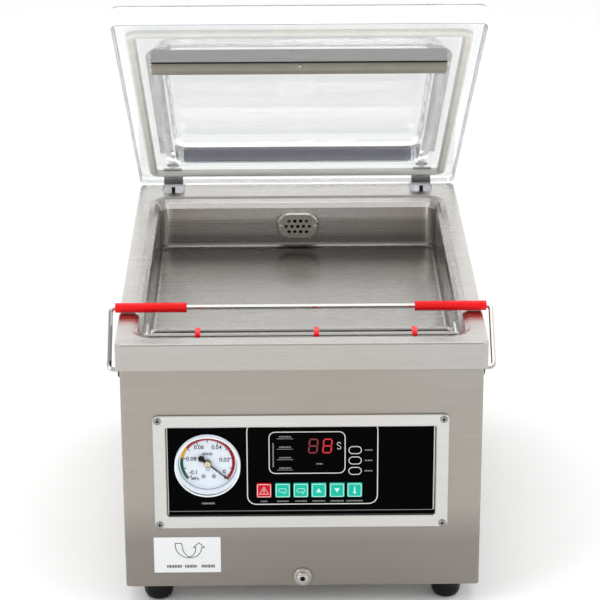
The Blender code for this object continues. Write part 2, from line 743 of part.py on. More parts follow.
def make_clamp_brackets():
    """Plates on studs from the side walls, their lower front corner cut back from the chamber's."""
    side_view = [
        (-3.6, -0.5),
        (-0.3, -6),
        (0.2, -14),
        (17, -14),
        (20.2, -10),
        (20.2, 1),
        (17, 4),
        (-1.4, 4),
        (-3.6, 1.8),
    ]
    outline = [(CLAMP_Y + y * MM, CLAMP_Z + z * MM) for y, z in side_view]
    stud_y, stud_z = CLAMP_Y + 12 * MM, CLAMP_Z - 10 * MM
    inner, outer = CLAMP_BRACKET_X
    for side, way in (("left", -1), ("right", 1)):
        x = sorted((way * inner, way * outer))
        bracket = piece(f"clamp_bracket_{side}", prism(outline, *x, "X"), "bright_steel", "shell")
        stud = sorted((way * inner + way * 0.5 * MM, way * (CHAMBER_X - GAP)))
        combine(bracket, disc(3 * MM, *stud, 12, (0, stud_y, stud_z), "X"), "UNION")
        hole = disc(CLAMP_WIRE + 0.5 * MM, -CHAMBER_X, CHAMBER_X, 12, (0, CLAMP_Y, CLAMP_Z), "X")
        combine(bracket, hole)


# ---------------------------------------------------------------- lid


def lid_ring(inset, z, corner=8 * MM):
    corner = max(corner - inset, 0.5 * MM)
    return ring(FLANGE_X - inset, LID_FRONT + inset, LID_REAR - inset, corner, z)


def make_lid_shell():
    upper = LID_UNDER + LID_THICK

    def dome(outset, z):
        front, rear = RECESS_FRONT - outset, RECESS_REAR + outset
        return ring(RECESS_X + outset, front, rear, 16 * MM + outset, z)

    rings = [
        dome(-5 * MM, LID_UNDER + RECESS_DEPTH),
        dome(-1.5 * MM, LID_UNDER + RECESS_DEPTH - 1.5 * MM),
        dome(0, LID_UNDER + RECESS_DEPTH - 5 * MM),
        dome(0, LID_UNDER),
        lid_ring(0, LID_UNDER),
        lid_ring(0, upper - LID_EDGE),
        lid_ring(LID_BREAK, upper - LID_BREAK),
        lid_ring(LID_EDGE, upper),
        dome(16 * MM, upper),
        dome(11 * MM, upper + 2 * MM),
        dome(7 * MM, upper + DOME_RISE - 4 * MM),
        dome(3 * MM, upper + DOME_RISE - 1 * MM),
        dome(-3 * MM, upper + DOME_RISE),
    ]
    piece("lid_shell", loft(rings), "clear_acrylic", "lid")


def make_gasket():
    top, low = LID_UNDER - GAP, TOP + GAP

    def band(inset, z):
        corner = GASKET_CORNER - inset
        return ring(GASKET_X - inset, GASKET_FRONT + inset, GASKET_REAR - inset, corner, z)

    rings = [
        band(0, top),
        band(0, low + 2 * MM),
        band(2 * MM, low),
        band(GASKET_WIDTH - 2 * MM, low),
        band(GASKET_WIDTH, low + 2 * MM),
        band(GASKET_WIDTH, top),
    ]
    piece("lid_gasket", loft(rings, closed=True), "white_silicone", "lid")


def make_lid_bar():
    top = LID_UNDER - GAP
    low = TOP - 6.5 * MM
    half = BAR_WIDTH / 2
    groove = 5.8 * MM
    section = [
        (BAR_Y - half, top),
        (BAR_Y - half, low),
        (BAR_Y - groove, low),
        (BAR_Y - groove, low + 3 * MM),
        (BAR_Y + groove, low + 3 * MM),
        (BAR_Y + groove, low),
        (BAR_Y + half, low),
        (BAR_Y + half, top),
    ]
    reach = BAR_LENGTH / 2
    piece("lid_bar", prism(section, -reach, reach, "X"), "aluminium", "lid")
    width = (BAR_Y - 5.5 * MM, BAR_Y + 5.5 * MM)
    strip = block((-reach + 0.5 * MM, reach - 0.5 * MM), width, (TOP - 14 * MM, low + 3 * MM - GAP))
    soften(piece("lid_strip", strip, "brown_silicone", "lid"), 1 * MM, 2)


def make_lid_hinges():
    eye = (LID_AXIS_Y, LID_AXIS_Z)
    front = SLOT_Y[0] + 1.5 * MM
    top = LID_UNDER - GAP
    eye_points = [
        (eye[0] + EYE_RADIUS * cos(a), eye[1] + EYE_RADIUS * sin(a))
        for a in (radians(30 - 30 * i) for i in range(9))
    ]
    side_view = [(front, top), (front + 8.5 * MM, top)] + eye_points + [(front, LEAF_LOW)]
    bracket_half = LEAF_HALF + 2.2 * MM
    inner_half = bracket_half - BRACKET_SHEET
    bracket_y = (BRACKET_FRONT, BRACKET_REAR)
    bracket_z = (TOP - 22 * MM, TOP - TRAY_SHEET - GAP)
    through = (BRACKET_FRONT - OVER, BRACKET_REAR + OVER)
    for side, x in (("left", -HINGE_X), ("right", HINGE_X)):
        leaf_x = (x - LEAF_HALF, x + LEAF_HALF)
        leaf = piece(f"lid_hinge_leaf_{side}", prism(side_view, *leaf_x, "X"), "bright_steel", "lid")
        hollow = (x - LEAF_HALF + 1.5 * MM, x + LEAF_HALF - 1.5 * MM)
        hollow_z = (LEAF_LOW - OVER, LID_UNDER - 1.8 * MM)
        combine(leaf, block(hollow, (front + 1.5 * MM, LID_AXIS_Y + OVER), hollow_z))
        combine(leaf, disc(PIN_HOLE, -20 * MM, 20 * MM, 12, (x, *eye), "X"))
        slit_x, slit_z = (x - 1.9 * MM, x + 1.9 * MM), (LEAF_LOW - OVER, LEAF_LOW + 9 * MM)
        combine(leaf, block(slit_x, (front - OVER, front + OVER), slit_z))
        shape = block((x - bracket_half, x + bracket_half), bracket_y, bracket_z)
        bracket = piece(f"lid_hinge_bracket_{side}", shape, "bright_steel", "shell")
        pocket = block((x - inner_half, x + inner_half), through, (bracket_z[0] + BRACKET_SHEET, TOP))
        combine(bracket, pocket)
        combine(bracket, disc(PIN_HOLE, -20 * MM, 20 * MM, 12, (x, *eye), "X"))
        pin = disc(PIN_RADIUS, -bracket_half - 1 * MM, bracket_half + 1 * MM, 12, (x, *eye), "X")
        piece(f"lid_hinge_pin_{side}", pin, "bright_steel", "shell")


# ---------------------------------------------------------------- sealing bar, bag clamp, bail


def make_heating_bar():
    reach = BAR_LENGTH / 2
    half = BAR_WIDTH / 2
    low = HEATING_BAR_TOP - 11.5 * MM
    shape = block((-reach, reach), (BAR_Y - half, BAR_Y + half), (low, HEATING_BAR_TOP - 0.8 * MM))
    bar = piece("heating_bar", shape, "aluminium", "seal_bar")
    for x in (-CYLINDER_X, CYLINDER_X):
        combine(bar, disc(4 * MM, low - 16.5 * MM, low + 2 * MM, 12, (x, BAR_Y, 0)), "UNION")
    width = (BAR_Y - 4.5 * MM, BAR_Y + 4.5 * MM)
    strip = block((-reach, reach), width, (HEATING_BAR_TOP - 0.8 * MM + GAP, HEATING_BAR_TOP))
    piece("heating_strip", strip, "brown_silicone", "seal_bar")


def make_bag_clamp():
    reach = CHAMBER_X - 1.2 * MM
    front_rod = sweep([(-reach, CLAMP_Y, CLAMP_Z), (reach, CLAMP_Y, CLAMP_Z)], CLAMP_WIRE, 8)
    wire = piece("clamp_wire", front_rod, "bright_steel", "bag_clamp")
    rear = CLAMP_Y + CLAMP_REACH
    corners = [
        (-CLAMP_X, CLAMP_Y, CLAMP_Z),
        (-CLAMP_X, rear, CLAMP_Z),
        (CLAMP_X, rear, CLAMP_Z),
        (CLAMP_X, CLAMP_Y, CLAMP_Z),
    ]
    combine(wire, sweep(fillet_path(corners, 5 * MM, 3), CLAMP_WIRE, 8), "UNION")
    middle = CLAMP_Y + CLAMP_REACH / 2
    half = CLAMP_REACH / 2 + SLEEVE_ROUND
    z = (CLAMP_Z - SLEEVE_ROUND, CLAMP_Z + SLEEVE_ROUND)
    outline = rectangle((middle - half, middle + half), z, SLEEVE_ROUND - 0.01 * MM, 4)
    for i, x in enumerate(SLEEVE_X):
        sleeve = prism(outline, x - SLEEVE_HALF, x + SLEEVE_HALF, "X")
        sleeve = piece(f"clamp_sleeve_{i + 1}", sleeve, "red_plastic", "bag_clamp")
        bore = CLAMP_WIRE + GAP
        rods = [disc(bore, -OVER, OVER, 12, (x, y, CLAMP_Z), "X") for y in (CLAMP_Y, rear)]
        combine(sleeve, together(*rods))


def make_bail():
    """Drawn upright: two legs from the pivots up to the crossbar."""
    top = BAIL_Z + BAIL_REACH
    end = BODY_X - 12 * MM
    corners = [
        (-end, BAIL_Y, BAIL_Z),
        (-BAIL_LEG_X, BAIL_Y, BAIL_Z),
        (-BAIL_LEG_X, BAIL_Y, top),
        (BAIL_LEG_X, BAIL_Y, top),
        (BAIL_LEG_X, BAIL_Y, BAIL_Z),
        (end, BAIL_Y, BAIL_Z),
    ]
    wire = sweep(fillet_path(corners, 4 * MM, 3), BAIL_WIRE, 8)
    piece("bail_wire", wire, "bright_steel", "bail")
    outer_x = BAIL_LEG_X - 4.2 * MM
    bore = BAIL_WIRE + GAP
    for side, way in (("left", -1), ("right", 1)):
        ends = sorted((way * GRIP_INNER_X, way * outer_x))
        path = [(x, BAIL_Y, top) for x in ends]
        piece(f"bail_grip_{side}", sweep(path, GRIP_RADIUS, 16, bore), "red_plastic", "bail")
        hole = BAIL_HOLE - GAP
        ring_profile = [
            (bore, -9 * MM),
            (hole, -9 * MM),
            (hole, GAP),
            (7 * MM, GAP),
            (7 * MM, 2.4 * MM),
            (bore, 2.4 * MM),
        ]
        bush_profile = [(radius, way * height) for radius, height in ring_profile]
        bush = revolve(bush_profile, 14, (way * BODY_X, BAIL_Y, BAIL_Z), "X")
        piece(f"bail_bush_{side}", bush, "black_plastic", "shell")


# ---------------------------------------------------------------- control panel


def make_panel_frame():
    back = BODY_FRONT - GAP
    front = back - 2.2 * MM
    rim_back = PLATE_FRONT - GAP

    def outline(inset, y, corner):
        x = (PANEL_LEFT + inset, PANEL_RIGHT - inset)
        z = (PANEL_LOW + inset, PANEL_HIGH - inset)
        return [(u, y, v) for u, v in rectangle(x, z, corner, 3)]

    rim = PANEL_BORDER
    rings = [
        outline(0, back, 5 * MM),
        outline(0, front + 0.6 * MM, 5 * MM),
        outline(0.6 * MM, front, 4.5 * MM),
        outline(rim - 0.8 * MM, front, 2.4 * MM),
        outline(rim, front + 0.8 * MM, 2 * MM),
        outline(rim, rim_back, 2 * MM),
        outline(rim - 1.5 * MM, rim_back, 2 * MM),
        outline(rim - 1.5 * MM, back, 2 * MM),
    ]
    piece("panel_frame", loft(rings, closed=True), "aluminium", "shell")


def make_control_plate():
    x, z = (PANEL_LEFT + 5 * MM, PANEL_RIGHT - 5 * MM), (PANEL_LOW + 5 * MM, PANEL_HIGH - 5 * MM)
    plate = block(x, (PLATE_FRONT, PLATE_FRONT + PLATE_THICK), z)
    plate = piece("control_plate", plate, "black_plastic", "shell")
    through = (PLATE_FRONT - OVER, PLATE_FRONT + OVER)
    holes = [disc(GAUGE_RADIUS + GAP, -OVER, OVER, 32, (GAUGE_X, PLATE_FRONT, GAUGE_Z), "Y")]
    for x in KEYS.values():
        half_x, half_z = KEY_WIDTH / 2 + 0.4 * MM, KEY_HEIGHT / 2 + 0.4 * MM
        holes.append(block((x - half_x, x + half_x), through, (KEY_Z - half_z, KEY_Z + half_z)))
    holes.append(block(DISPLAY_X, through, DISPLAY_Z))
    combine(plate, together(*holes))


def make_electronics():
    board_front = PLATE_FRONT + 5.7 * MM
    y, z = (board_front, board_front + 1.6 * MM), (PANEL_LOW + 6 * MM, PANEL_HIGH - 6 * MM)
    piece("circuit_board", block((-50 * MM, 100 * MM), y, z), "circuit_green", "shell")
    display = block(
        (DISPLAY_X[0] + GAP, DISPLAY_X[1] - GAP),
        (PLATE_FRONT + 0.3 * MM, board_front - GAP),
        (DISPLAY_Z[0] + GAP, DISPLAY_Z[1] - GAP),
    )
    piece("display_module", display, "black_plastic", "shell")


def make_keys():
    for name, x in KEYS.items():
        x_sides = (x - KEY_WIDTH / 2, x + KEY_WIDTH / 2)
        z_sides = (KEY_Z - KEY_HEIGHT / 2, KEY_Z + KEY_HEIGHT / 2)
        key = block(x_sides, (KEY_FRONT, KEY_FRONT + 5.4 * MM), z_sides)
        material = "red_plastic" if name == "key_start" else "teal_key"
        soften(piece(name, key, material, name), 0.7 * MM, 2)


def make_gauge():
    front = PLATE_FRONT - 6.3 * MM
    centre = (GAUGE_X, front, GAUGE_Z)
    dial = 10.5 * MM
    case = [
        (0, dial),
        (26.4 * MM, dial),
        (26.4 * MM, 0.4 * MM),
        (26.8 * MM, 0),
        (GAUGE_RADIUS - 0.6 * MM, 0),
        (GAUGE_RADIUS, 0.6 * MM),
        (GAUGE_RADIUS, 31 * MM),
        (0, 31 * MM),
    ]
    piece("gauge_case", revolve(case, 32, centre, "Y"), "dial_white", "shell")
    piece("gauge_lens", disc(26.1 * MM, 2.4 * MM, 3.6 * MM, 32, centre, "Y"), "clear_acrylic", "shell")
    blade = [(-0.9, -8), (0.9, -8), (0.5, 23), (0, 25), (-0.5, 23)]
    face_y = (front + 8 * MM, front + 8.8 * MM)
    turn = Matrix.Rotation(NEEDLE_REST - pi / 2, 2)
    outline = []
    for u, v in blade:
        across, up = turn @ Vector((u * MM, v * MM))
        outline.append((GAUGE_X + across, GAUGE_Z + up))
    needle = piece("gauge_needle", prism(outline, *face_y, "Y"), "black_plastic", "needle")
    hub = disc(3.4 * MM, 7.4 * MM, 9.6 * MM, 12, centre, "Y")
    combine(needle, hub, "UNION")


def main():
    clear_scene()
    for name in MATERIALS:
        make_material(name)
    make_groups()
    make_base_pan()
    make_feet()
    make_pump()
    make_motor()
    make_exhaust_filter()
    make_transformer()
    make_tip_hinge()
    make_housing()
    make_rear_panel()
    make_mains_inlet()
    make_housing_screw()
    make_chamber_tray()
    make_suction_elbow()
    make_vacuum_hose()
    make_suction_cover()
    make_lift_cylinders()
    make_clamp_brackets()
    make_lid_shell()
    make_gasket()
    make_lid_bar()
    make_lid_hinges()
    make_heating_bar()
    make_bag_clamp()
    make_bail()
    make_panel_frame()
    make_control_plate()
    make_electronics()
    make_keys()
    make_gauge()
    bpy.context.view_layer.update()


main()
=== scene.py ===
"""Looks, studio and camera for the countertop vacuum packing machine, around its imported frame."""

from math import cos, pi, radians, sin, sqrt, tau

import bmesh
import bpy
from mathutils import Matrix, Vector


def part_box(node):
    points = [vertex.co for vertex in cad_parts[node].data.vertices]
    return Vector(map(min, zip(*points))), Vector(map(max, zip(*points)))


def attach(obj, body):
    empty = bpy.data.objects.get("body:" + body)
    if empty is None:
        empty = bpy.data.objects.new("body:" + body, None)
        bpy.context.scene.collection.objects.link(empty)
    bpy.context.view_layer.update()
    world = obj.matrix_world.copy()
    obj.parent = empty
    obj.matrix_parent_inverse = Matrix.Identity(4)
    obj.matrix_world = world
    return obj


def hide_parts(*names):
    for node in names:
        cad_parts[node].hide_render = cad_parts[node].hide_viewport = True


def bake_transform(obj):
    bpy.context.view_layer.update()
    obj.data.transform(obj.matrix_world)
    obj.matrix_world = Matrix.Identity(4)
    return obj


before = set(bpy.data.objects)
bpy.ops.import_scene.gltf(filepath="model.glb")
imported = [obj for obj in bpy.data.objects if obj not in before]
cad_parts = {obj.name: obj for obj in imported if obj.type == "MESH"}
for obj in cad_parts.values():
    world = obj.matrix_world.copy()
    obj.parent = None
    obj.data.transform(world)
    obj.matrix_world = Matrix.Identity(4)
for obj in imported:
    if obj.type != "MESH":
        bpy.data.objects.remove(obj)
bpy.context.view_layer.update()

MM = 0.001
# Lengths are in the machine's own millimetres, but in metres inside the materials.
TOP = 262.0  # height of the flange's top face
MIDDLE_Y = -9.035746  # the machine's own Y = 0, in the frame
PLATE_FRONT = -218.5  # the black plate's face
BODY_FRONT = -221.0  # the housing's face
INK_HEIGHT = 0.08
DASH_HEIGHT = 0.06
LEAF_X = 129.2  # the lid's two hinge leaves, to either side
SIDES = (("left", -1), ("right", 1))
HEAD_ANGLE = 50  # in degrees, the least bend that stays sharp on a screw's head
LID_Y = (-228, 226)  # front and rear of the closed lid
LID_EDGE = (6.5, 23.1)  # low and high of the lid's milled edge, over the flange
LID_ANGLE = radians(35.8)
LID_AXIS = (218.0, TOP - 8.0)


def at(x, y, z):
    """A point in the machine's own millimetres, with Z from the ground, as metres in the frame."""
    return Vector((x * MM, (y + MIDDLE_Y) * MM, z * MM))


def lid_at(x, y, z):
    """A point drawn on the closed lid, where the open lid holds it."""
    across, up = y - LID_AXIS[0], z - LID_AXIS[1]
    turned_y = LID_AXIS[0] + across * cos(LID_ANGLE) + up * sin(LID_ANGLE)
    turned_z = LID_AXIS[1] - across * sin(LID_ANGLE) + up * cos(LID_ANGLE)
    return at(x, turned_y, turned_z)


def span_of(node):
    """A node's low and high corners and its middle, in the machine's own millimetres."""
    low, high = [Vector((c.x / MM, c.y / MM - MIDDLE_Y, c.z / MM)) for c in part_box(node)]
    return low, high, (low + high) / 2


# -------- materials

NOISE_MIDDLE = (0.3, 0.7)


def map_range(tree, value, given, result, smooth=False):
    """Maps one range of a value onto another."""
    node = tree.nodes.new("ShaderNodeMapRange")
    if smooth:
        node.interpolation_type = "SMOOTHSTEP"
    for socket, number in zip(("From Min", "From Max", "To Min", "To Max"), (*given, *result)):
        node.inputs[socket].default_value = number
    tree.links.new(value, node.inputs["Value"])
    return node.outputs["Result"]


class Paint:
    """A material whose colour, roughness and relief come from layers of noise."""

    def __init__(self, name, colour, metallic=0.0, roughness=0.5, **sockets):
        self.material = bpy.data.materials.new(name)
        self.material.use_nodes = True
        self.tree = self.material.node_tree
        self.nodes = self.tree.nodes
        self.links = self.tree.links
        self.shader = self.nodes["Principled BSDF"]
        self.shader.inputs["Metallic"].default_value = metallic
        self.shader.inputs["Roughness"].default_value = roughness
        for socket, value in sockets.items():
            self.shader.inputs[socket.replace("_", " ")].default_value = value
        self.place = self.nodes.new("ShaderNodeTexCoord").outputs["Object"]
        self.colour = None
        self.roughness = None
        self.relief = None
        self.base = (*colour, 1.0)
        self.shader.inputs["Base Color"].default_value = self.base
        self.rough = roughness

    def noise(self, scale, detail=3.0, grain=0.55):
        """Noise whose features are about 1/scale metres long on each axis."""
        mapping = self.nodes.new("ShaderNodeMapping")
        mapping.inputs["Scale"].default_value = scale
        self.links.new(self.place, mapping.inputs["Vector"])
        noise = self.nodes.new("ShaderNodeTexNoise")
        noise.inputs["Scale"].default_value = 1.0
        noise.inputs["Detail"].default_value = detail
        noise.inputs["Roughness"].default_value = grain
        self.links.new(mapping.outputs["Vector"], noise.inputs["Vector"])
        return noise.outputs["Fac"]

    def span(self, value, low, high):
        """Maps the middle of the noise onto a range."""
        return map_range(self.tree, value, NOISE_MIDDLE, (low, high))

    def ramp(self, value, start, end):
        """Rises from nothing to one, smoothly, from start to end."""
        if start < end:
            return map_range(self.tree, value, (start, end), (0.0, 1.0), smooth=True)
        return map_range(self.tree, value, (end, start), (1.0, 0.0), smooth=True)

    def maths(self, operation, *values):
        """One step of arithmetic on sockets."""
        node = self.nodes.new("ShaderNodeMath")
        node.operation = operation
        for value, socket in zip(values, node.inputs):
            self.links.new(value, socket)
        return node.outputs["Value"]

    def both(self, first, second):
        """High only where both are."""
        return self.maths("MULTIPLY", first, second)

    def tint(self, value, colour, amount=1.0):
        """Mixes in another colour where the value is high."""
        mix = self.nodes.new("ShaderNodeMix")
        mix.data_type = "RGBA"
        mix.inputs["B"].default_value = (*colour, 1.0)
        mix.inputs["A"].default_value = self.base
        if self.colour:
            self.links.new(self.colour, mix.inputs["A"])
        self.links.new(self.span(value, 0.0, amount), mix.inputs["Factor"])
        self.colour = mix.outputs["Result"]
        self.links.new(self.colour, self.shader.inputs["Base Color"])
        return self

    def worn(self, value, spread):
        """Roughness varies by the spread either way."""
        if self.roughness:
            self.roughness = self.maths("ADD", self.roughness, self.span(value, -spread, spread))
        else:
            self.roughness = self.span(value, self.rough - spread, self.rough + spread)
        self.links.new(self.roughness, self.shader.inputs["Roughness"])
        return self

    def bump(self, value, height, strength=1.0):
        """Raises the surface where the value is high, by the height in metres."""
        node = self.nodes.new("ShaderNodeBump")
        node.inputs["Strength"].default_value = strength
        node.inputs["Distance"].default_value = height
        self.links.new(value, node.inputs["Height"])
        if self.relief:
            self.links.new(self.relief, node.inputs["Normal"])
        self.relief = node.outputs["Normal"]
        self.links.new(self.relief, self.shader.inputs["Normal"])
        return self


def brushed(name, colour, roughness, along, coarse=1.0):
    """Sheet metal with fine lines along one axis and faint handling marks."""
    fine = [1500.0 * coarse] * 3
    fine[along] = 9.0
    bands = [260.0] * 3
    bands[along] = 3.0
    paint = Paint(name, colour, 1.0, roughness)
    lines = paint.noise(fine, 2.0)
    broad = paint.noise(bands, 2.0)
    marks = paint.noise((7.0, 7.0, 7.0), 5.0, 0.6)
    darker = [channel * 0.86 for channel in colour]
    warmer = [colour[0] * 0.97, colour[1] * 0.94, colour[2] * 0.88]
    paint.tint(lines, darker, 0.5).tint(broad, darker, 0.35).tint(marks, warmer, 0.6)
    paint.worn(lines, 0.04).worn(marks, 0.05)
    return paint.bump(lines, 0.00002, 0.25)


def polished(name, colour, roughness):
    """Plated or polished metal with drawing lines and smears."""
    paint = Paint(name, colour, 1.0, roughness)
    smear = paint.noise((90.0, 90.0, 90.0), 4.0, 0.6)
    fine = paint.noise((30.0, 900.0, 900.0), 2.0)
    paint.tint(smear, [channel * 0.88 for channel in colour], 0.6)
    return paint.worn(smear, 0.05).bump(fine, 0.00001, 0.2)


def moulded(name, colour, roughness, grain=1800.0, height=0.00002, specular=0.5):
    """Moulded plastic or rubber with a fine texture and slight mottling."""
    paint = Paint(name, colour, 0.0, roughness, Specular_IOR_Level=specular)
    skin = paint.noise((grain, grain, grain), 2.0)
    mottle = paint.noise((60.0, 60.0, 60.0), 4.0)
    paint.tint(mottle, [channel * 0.85 for channel in colour], 0.7)
    return paint.worn(mottle, 0.06).bump(skin, height, 0.5)


def printed(name, colour, roughness=0.5, specular=0.5, **sockets):
    """Printing ink, a little uneven."""
    paint = Paint(name, colour, 0.0, roughness, Specular_IOR_Level=specular, **sockets)
    uneven = paint.noise((500.0, 500.0, 500.0), 3.0)
    return paint.tint(uneven, [channel * 0.9 for channel in colour], 0.6).worn(uneven, 0.05)


def glowing(name, colour, glow):
    """The film of a display's segment, lit from behind."""
    return printed(name, colour, 0.3, Emission_Color=(*glow, 1.0), Emission_Strength=1.0)


def clear(name, tint, roughness, alpha):
    """Clear acrylic with faint polishing haze and the waves of a formed sheet."""
    paint = Paint(name, tint, 0.0, roughness, Transmission_Weight=1.0, IOR=1.49, Alpha=alpha)
    haze = paint.noise((25.0, 25.0, 25.0), 4.0)
    waves = paint.noise((14.0, 40.0, 14.0), 3.0)
    return paint.worn(haze, roughness * 0.8).bump(waves, 0.0006, 0.25)


def axes(paint, node, turn=Matrix.Identity(4)):
    """X, Y and Z in the frame, or after a further turn, of what a node's material covers."""
    spot, rotation, _ = (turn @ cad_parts[node].matrix_world).decompose()
    mapping = paint.nodes.new("ShaderNodeMapping")
    mapping.inputs["Location"].default_value = spot
    mapping.inputs["Rotation"].default_value = rotation.to_euler()
    paint.links.new(paint.place, mapping.inputs["Vector"])
    split = paint.nodes.new("ShaderNodeSeparateXYZ")
    paint.links.new(mapping.outputs["Vector"], split.inputs["Vector"])
    return split.outputs


CLOSING = Matrix.Rotation(LID_ANGLE, 4, "X") @ Matrix.Translation(-at(0, *LID_AXIS))


def leaf_painted_shade(paint):
    """Painted shade and dark reflection on the bent upper part of the lid's hinge leaves."""
    up = axes(paint, "lid_hinge_leaf_left", CLOSING)["Z"]
    return paint.tint(paint.ramp(up, 0.0038, 0.0046), (0.26, 0.27, 0.29))


def housing_painted_shade(paint):
    """Painted shade, darker towards the foot of the housing."""
    low = paint.ramp(axes(paint, "housing")["Z"], 0.15, 0.02)
    # Painted shade: the housing's colour darkens near its foot.
    return paint.tint(low, (0.25, 0.228, 0.205), 0.9)


def tray_painted_light(paint):
    """Painted shade deep in the chamber's rear and at the foot of its rear wall, and a painted
    highlight brighter up that wall.
    """
    place = axes(paint, "chamber_tray")
    back, up = place["Y"], place["Z"]
    floor = paint.both(paint.ramp(back, 0.07, 0.162), paint.ramp(up, 0.2155, 0.2125))
    inside = paint.ramp(paint.maths("ABSOLUTE", place["X"]), 0.158, 0.152)
    depth = paint.both(paint.ramp(back, 0.1635, 0.1655), paint.ramp(back, 0.18, 0.174))
    wall = paint.both(depth, inside)
    low = paint.both(wall, paint.ramp(up, 0.232, 0.214))
    high = paint.both(wall, paint.both(paint.ramp(up, 0.228, 0.252), paint.ramp(up, 0.261, 0.253)))
    # Painted shade on the rear floor and the wall's foot, and a painted highlight higher up the
    # rear wall.
    paint.tint(floor, (0.13, 0.115, 0.105), 0.75)
    paint.tint(low, (0.26, 0.24, 0.225), 0.7)
    return paint.tint(high, (0.85, 0.82, 0.8), 0.8)


def recess_painted_shade(paint):
    """Painted shade: darker violet-grey in the recess's standing walls, where the thick acrylic
    refracts its surroundings, streaked at the sides.
    """
    place = axes(paint, "lid_shell", CLOSING)
    side = paint.maths("ABSOLUTE", place["X"])
    back, up = place["Y"], place["Z"]
    standing = paint.both(paint.ramp(up, 0.0148, 0.0165), paint.ramp(up, 0.0325, 0.029))
    rear = paint.both(paint.ramp(back, -0.0645, -0.0615), paint.ramp(back, -0.0575, -0.0585))
    edge = paint.both(paint.ramp(side, 0.1215, 0.1232), paint.ramp(side, 0.1255, 0.1248))
    streaks = paint.span(paint.noise((60.0, 9.0, 60.0), 4.0, 0.6), 0.2, 1.0)
    # Painted refraction shade: violet-grey streaks on the side walls, near black along the rear
    # wall.
    paint.tint(paint.both(paint.both(edge, standing), streaks), (0.2, 0.19, 0.3))
    return paint.tint(paint.both(rear, standing), (0.02, 0.017, 0.034))


def make_materials():
    """Every material, by the short name that LOOKS and add_piece use."""
    make = {
        "housing": housing_painted_shade(brushed("housing_steel", (0.38, 0.355, 0.325), 0.4, 0)),
        "rear": brushed("rear_steel", (0.5, 0.475, 0.44), 0.4, 0),
        "tray": tray_painted_light(brushed("tray_steel", (0.46, 0.445, 0.43), 0.27, 0, 0.7)),
        "pan": brushed("pan_steel", (0.5, 0.49, 0.47), 0.35, 0),
        "cover": brushed("cover_steel", (0.5, 0.475, 0.44), 0.3, 0),
        "chrome": polished("plated_steel", (0.55, 0.54, 0.52), 0.12),
        "screw": polished("screw_steel", (0.34, 0.34, 0.33), 0.2),
        "washer": polished("washer_steel", (0.42, 0.39, 0.33), 0.3),
        "hinge": polished("hinge_steel", (0.6, 0.61, 0.64), 0.2),
        "leaf": leaf_painted_shade(polished("leaf_steel", (0.68, 0.69, 0.72), 0.2)),
        "frame": brushed("frame_aluminium", (0.66, 0.66, 0.645), 0.42, 0),
        "bar": brushed("bar_aluminium", (0.4, 0.4, 0.405), 0.3, 0, 0.5),
        "casting": moulded("painted_casting", (0.05, 0.09, 0.14), 0.45, 700.0, 0.0002),
        "laminate": brushed("laminated_iron", (0.2, 0.2, 0.21), 0.5, 0),
        "winding": polished("copper_winding", (0.72, 0.32, 0.14), 0.35),
        "black": moulded("black_plastic", (0.003, 0.003, 0.0035), 0.38, specular=0.2),
        "plate": moulded("black_acrylic", (0.0006, 0.0006, 0.0008), 0.18, 2500.0, 0.000004, 0.02),
        "acrylic": recess_painted_shade(clear("clear_acrylic", (0.975, 0.992, 0.995), 0.02, 0.85)),
        "edge": moulded("acrylic_edge", (0.9, 0.97, 0.98), 0.3, 300.0, 0.00002),
        "lens": clear("gauge_glass", (0.99, 1.0, 1.0), 0.01, 0.08),
        "gasket": moulded("gasket_silicone", (0.78, 0.765, 0.72), 0.6, 900.0, 0.00006),
        "strip": moulded("strip_silicone", (0.27, 0.255, 0.21), 0.5, 300.0, 0.0001),
        "ptfe": moulded("woven_ptfe", (0.16, 0.1, 0.05), 0.5, 900.0, 0.0001),
        "red": moulded("red_plastic", (0.93, 0.006, 0.008), 0.25, 400.0, 0.00001, 0.25),
        "red_key": moulded("red_key", (0.66, 0.003, 0.014), 0.35, 400.0, 0.00001, 0.15),
        "teal": moulded("teal_key", (0.005, 0.53, 0.38), 0.35, 400.0, 0.00001, 0.15),
        "rubber": moulded("foot_rubber", (0.002, 0.002, 0.002), 0.4, 700.0, 0.0001, specular=0.2),
        "hose": moulded("hose_rubber", (0.014, 0.014, 0.015), 0.5, 700.0, 0.0001),
        "board": moulded("circuit_board", (0.012, 0.12, 0.045), 0.35, 300.0, 0.00002),
        "dial": printed("dial_face", (0.84, 0.9, 0.98), 0.35, specular=0.2),
        "ink_white": printed("white_ink", (0.72, 0.72, 0.7)),
        "ink_grey": printed("grey_ink", (0.3, 0.3, 0.3)),
        "ink_black": printed("black_ink", (0.004, 0.004, 0.005), specular=0.1),
        "ink_red": printed("red_ink", (0.34, 0.001, 0.006), specular=0.1),
        "ink_green": printed("green_ink", (0.002, 0.1, 0.05), specular=0.1),
        "ink_yellow": printed("yellow_ink", (0.85, 0.42, 0.03), specular=0.1),
        "label": printed("label_film", (0.83, 0.84, 0.85), 0.35),
        "pale": printed("pale_ink", (0.6, 0.95, 0.85)),
        "brass": polished("brass", (0.7, 0.6, 0.38), 0.25),
        "dim": glowing("unlit_segment", (0.12, 0.0, 0.004), (0.07, 0.0, 0.004)),
        "lit": glowing("lit_segment", (0.4, 0.0, 0.004), (0.19, 0.0, 0.006)),
    }
    return {name: paint.material for name, paint in make.items()}


def pair(*names):
    """The left and the right node of each name."""
    return [f"{name}_{side}" for name in names for side in ("left", "right")]


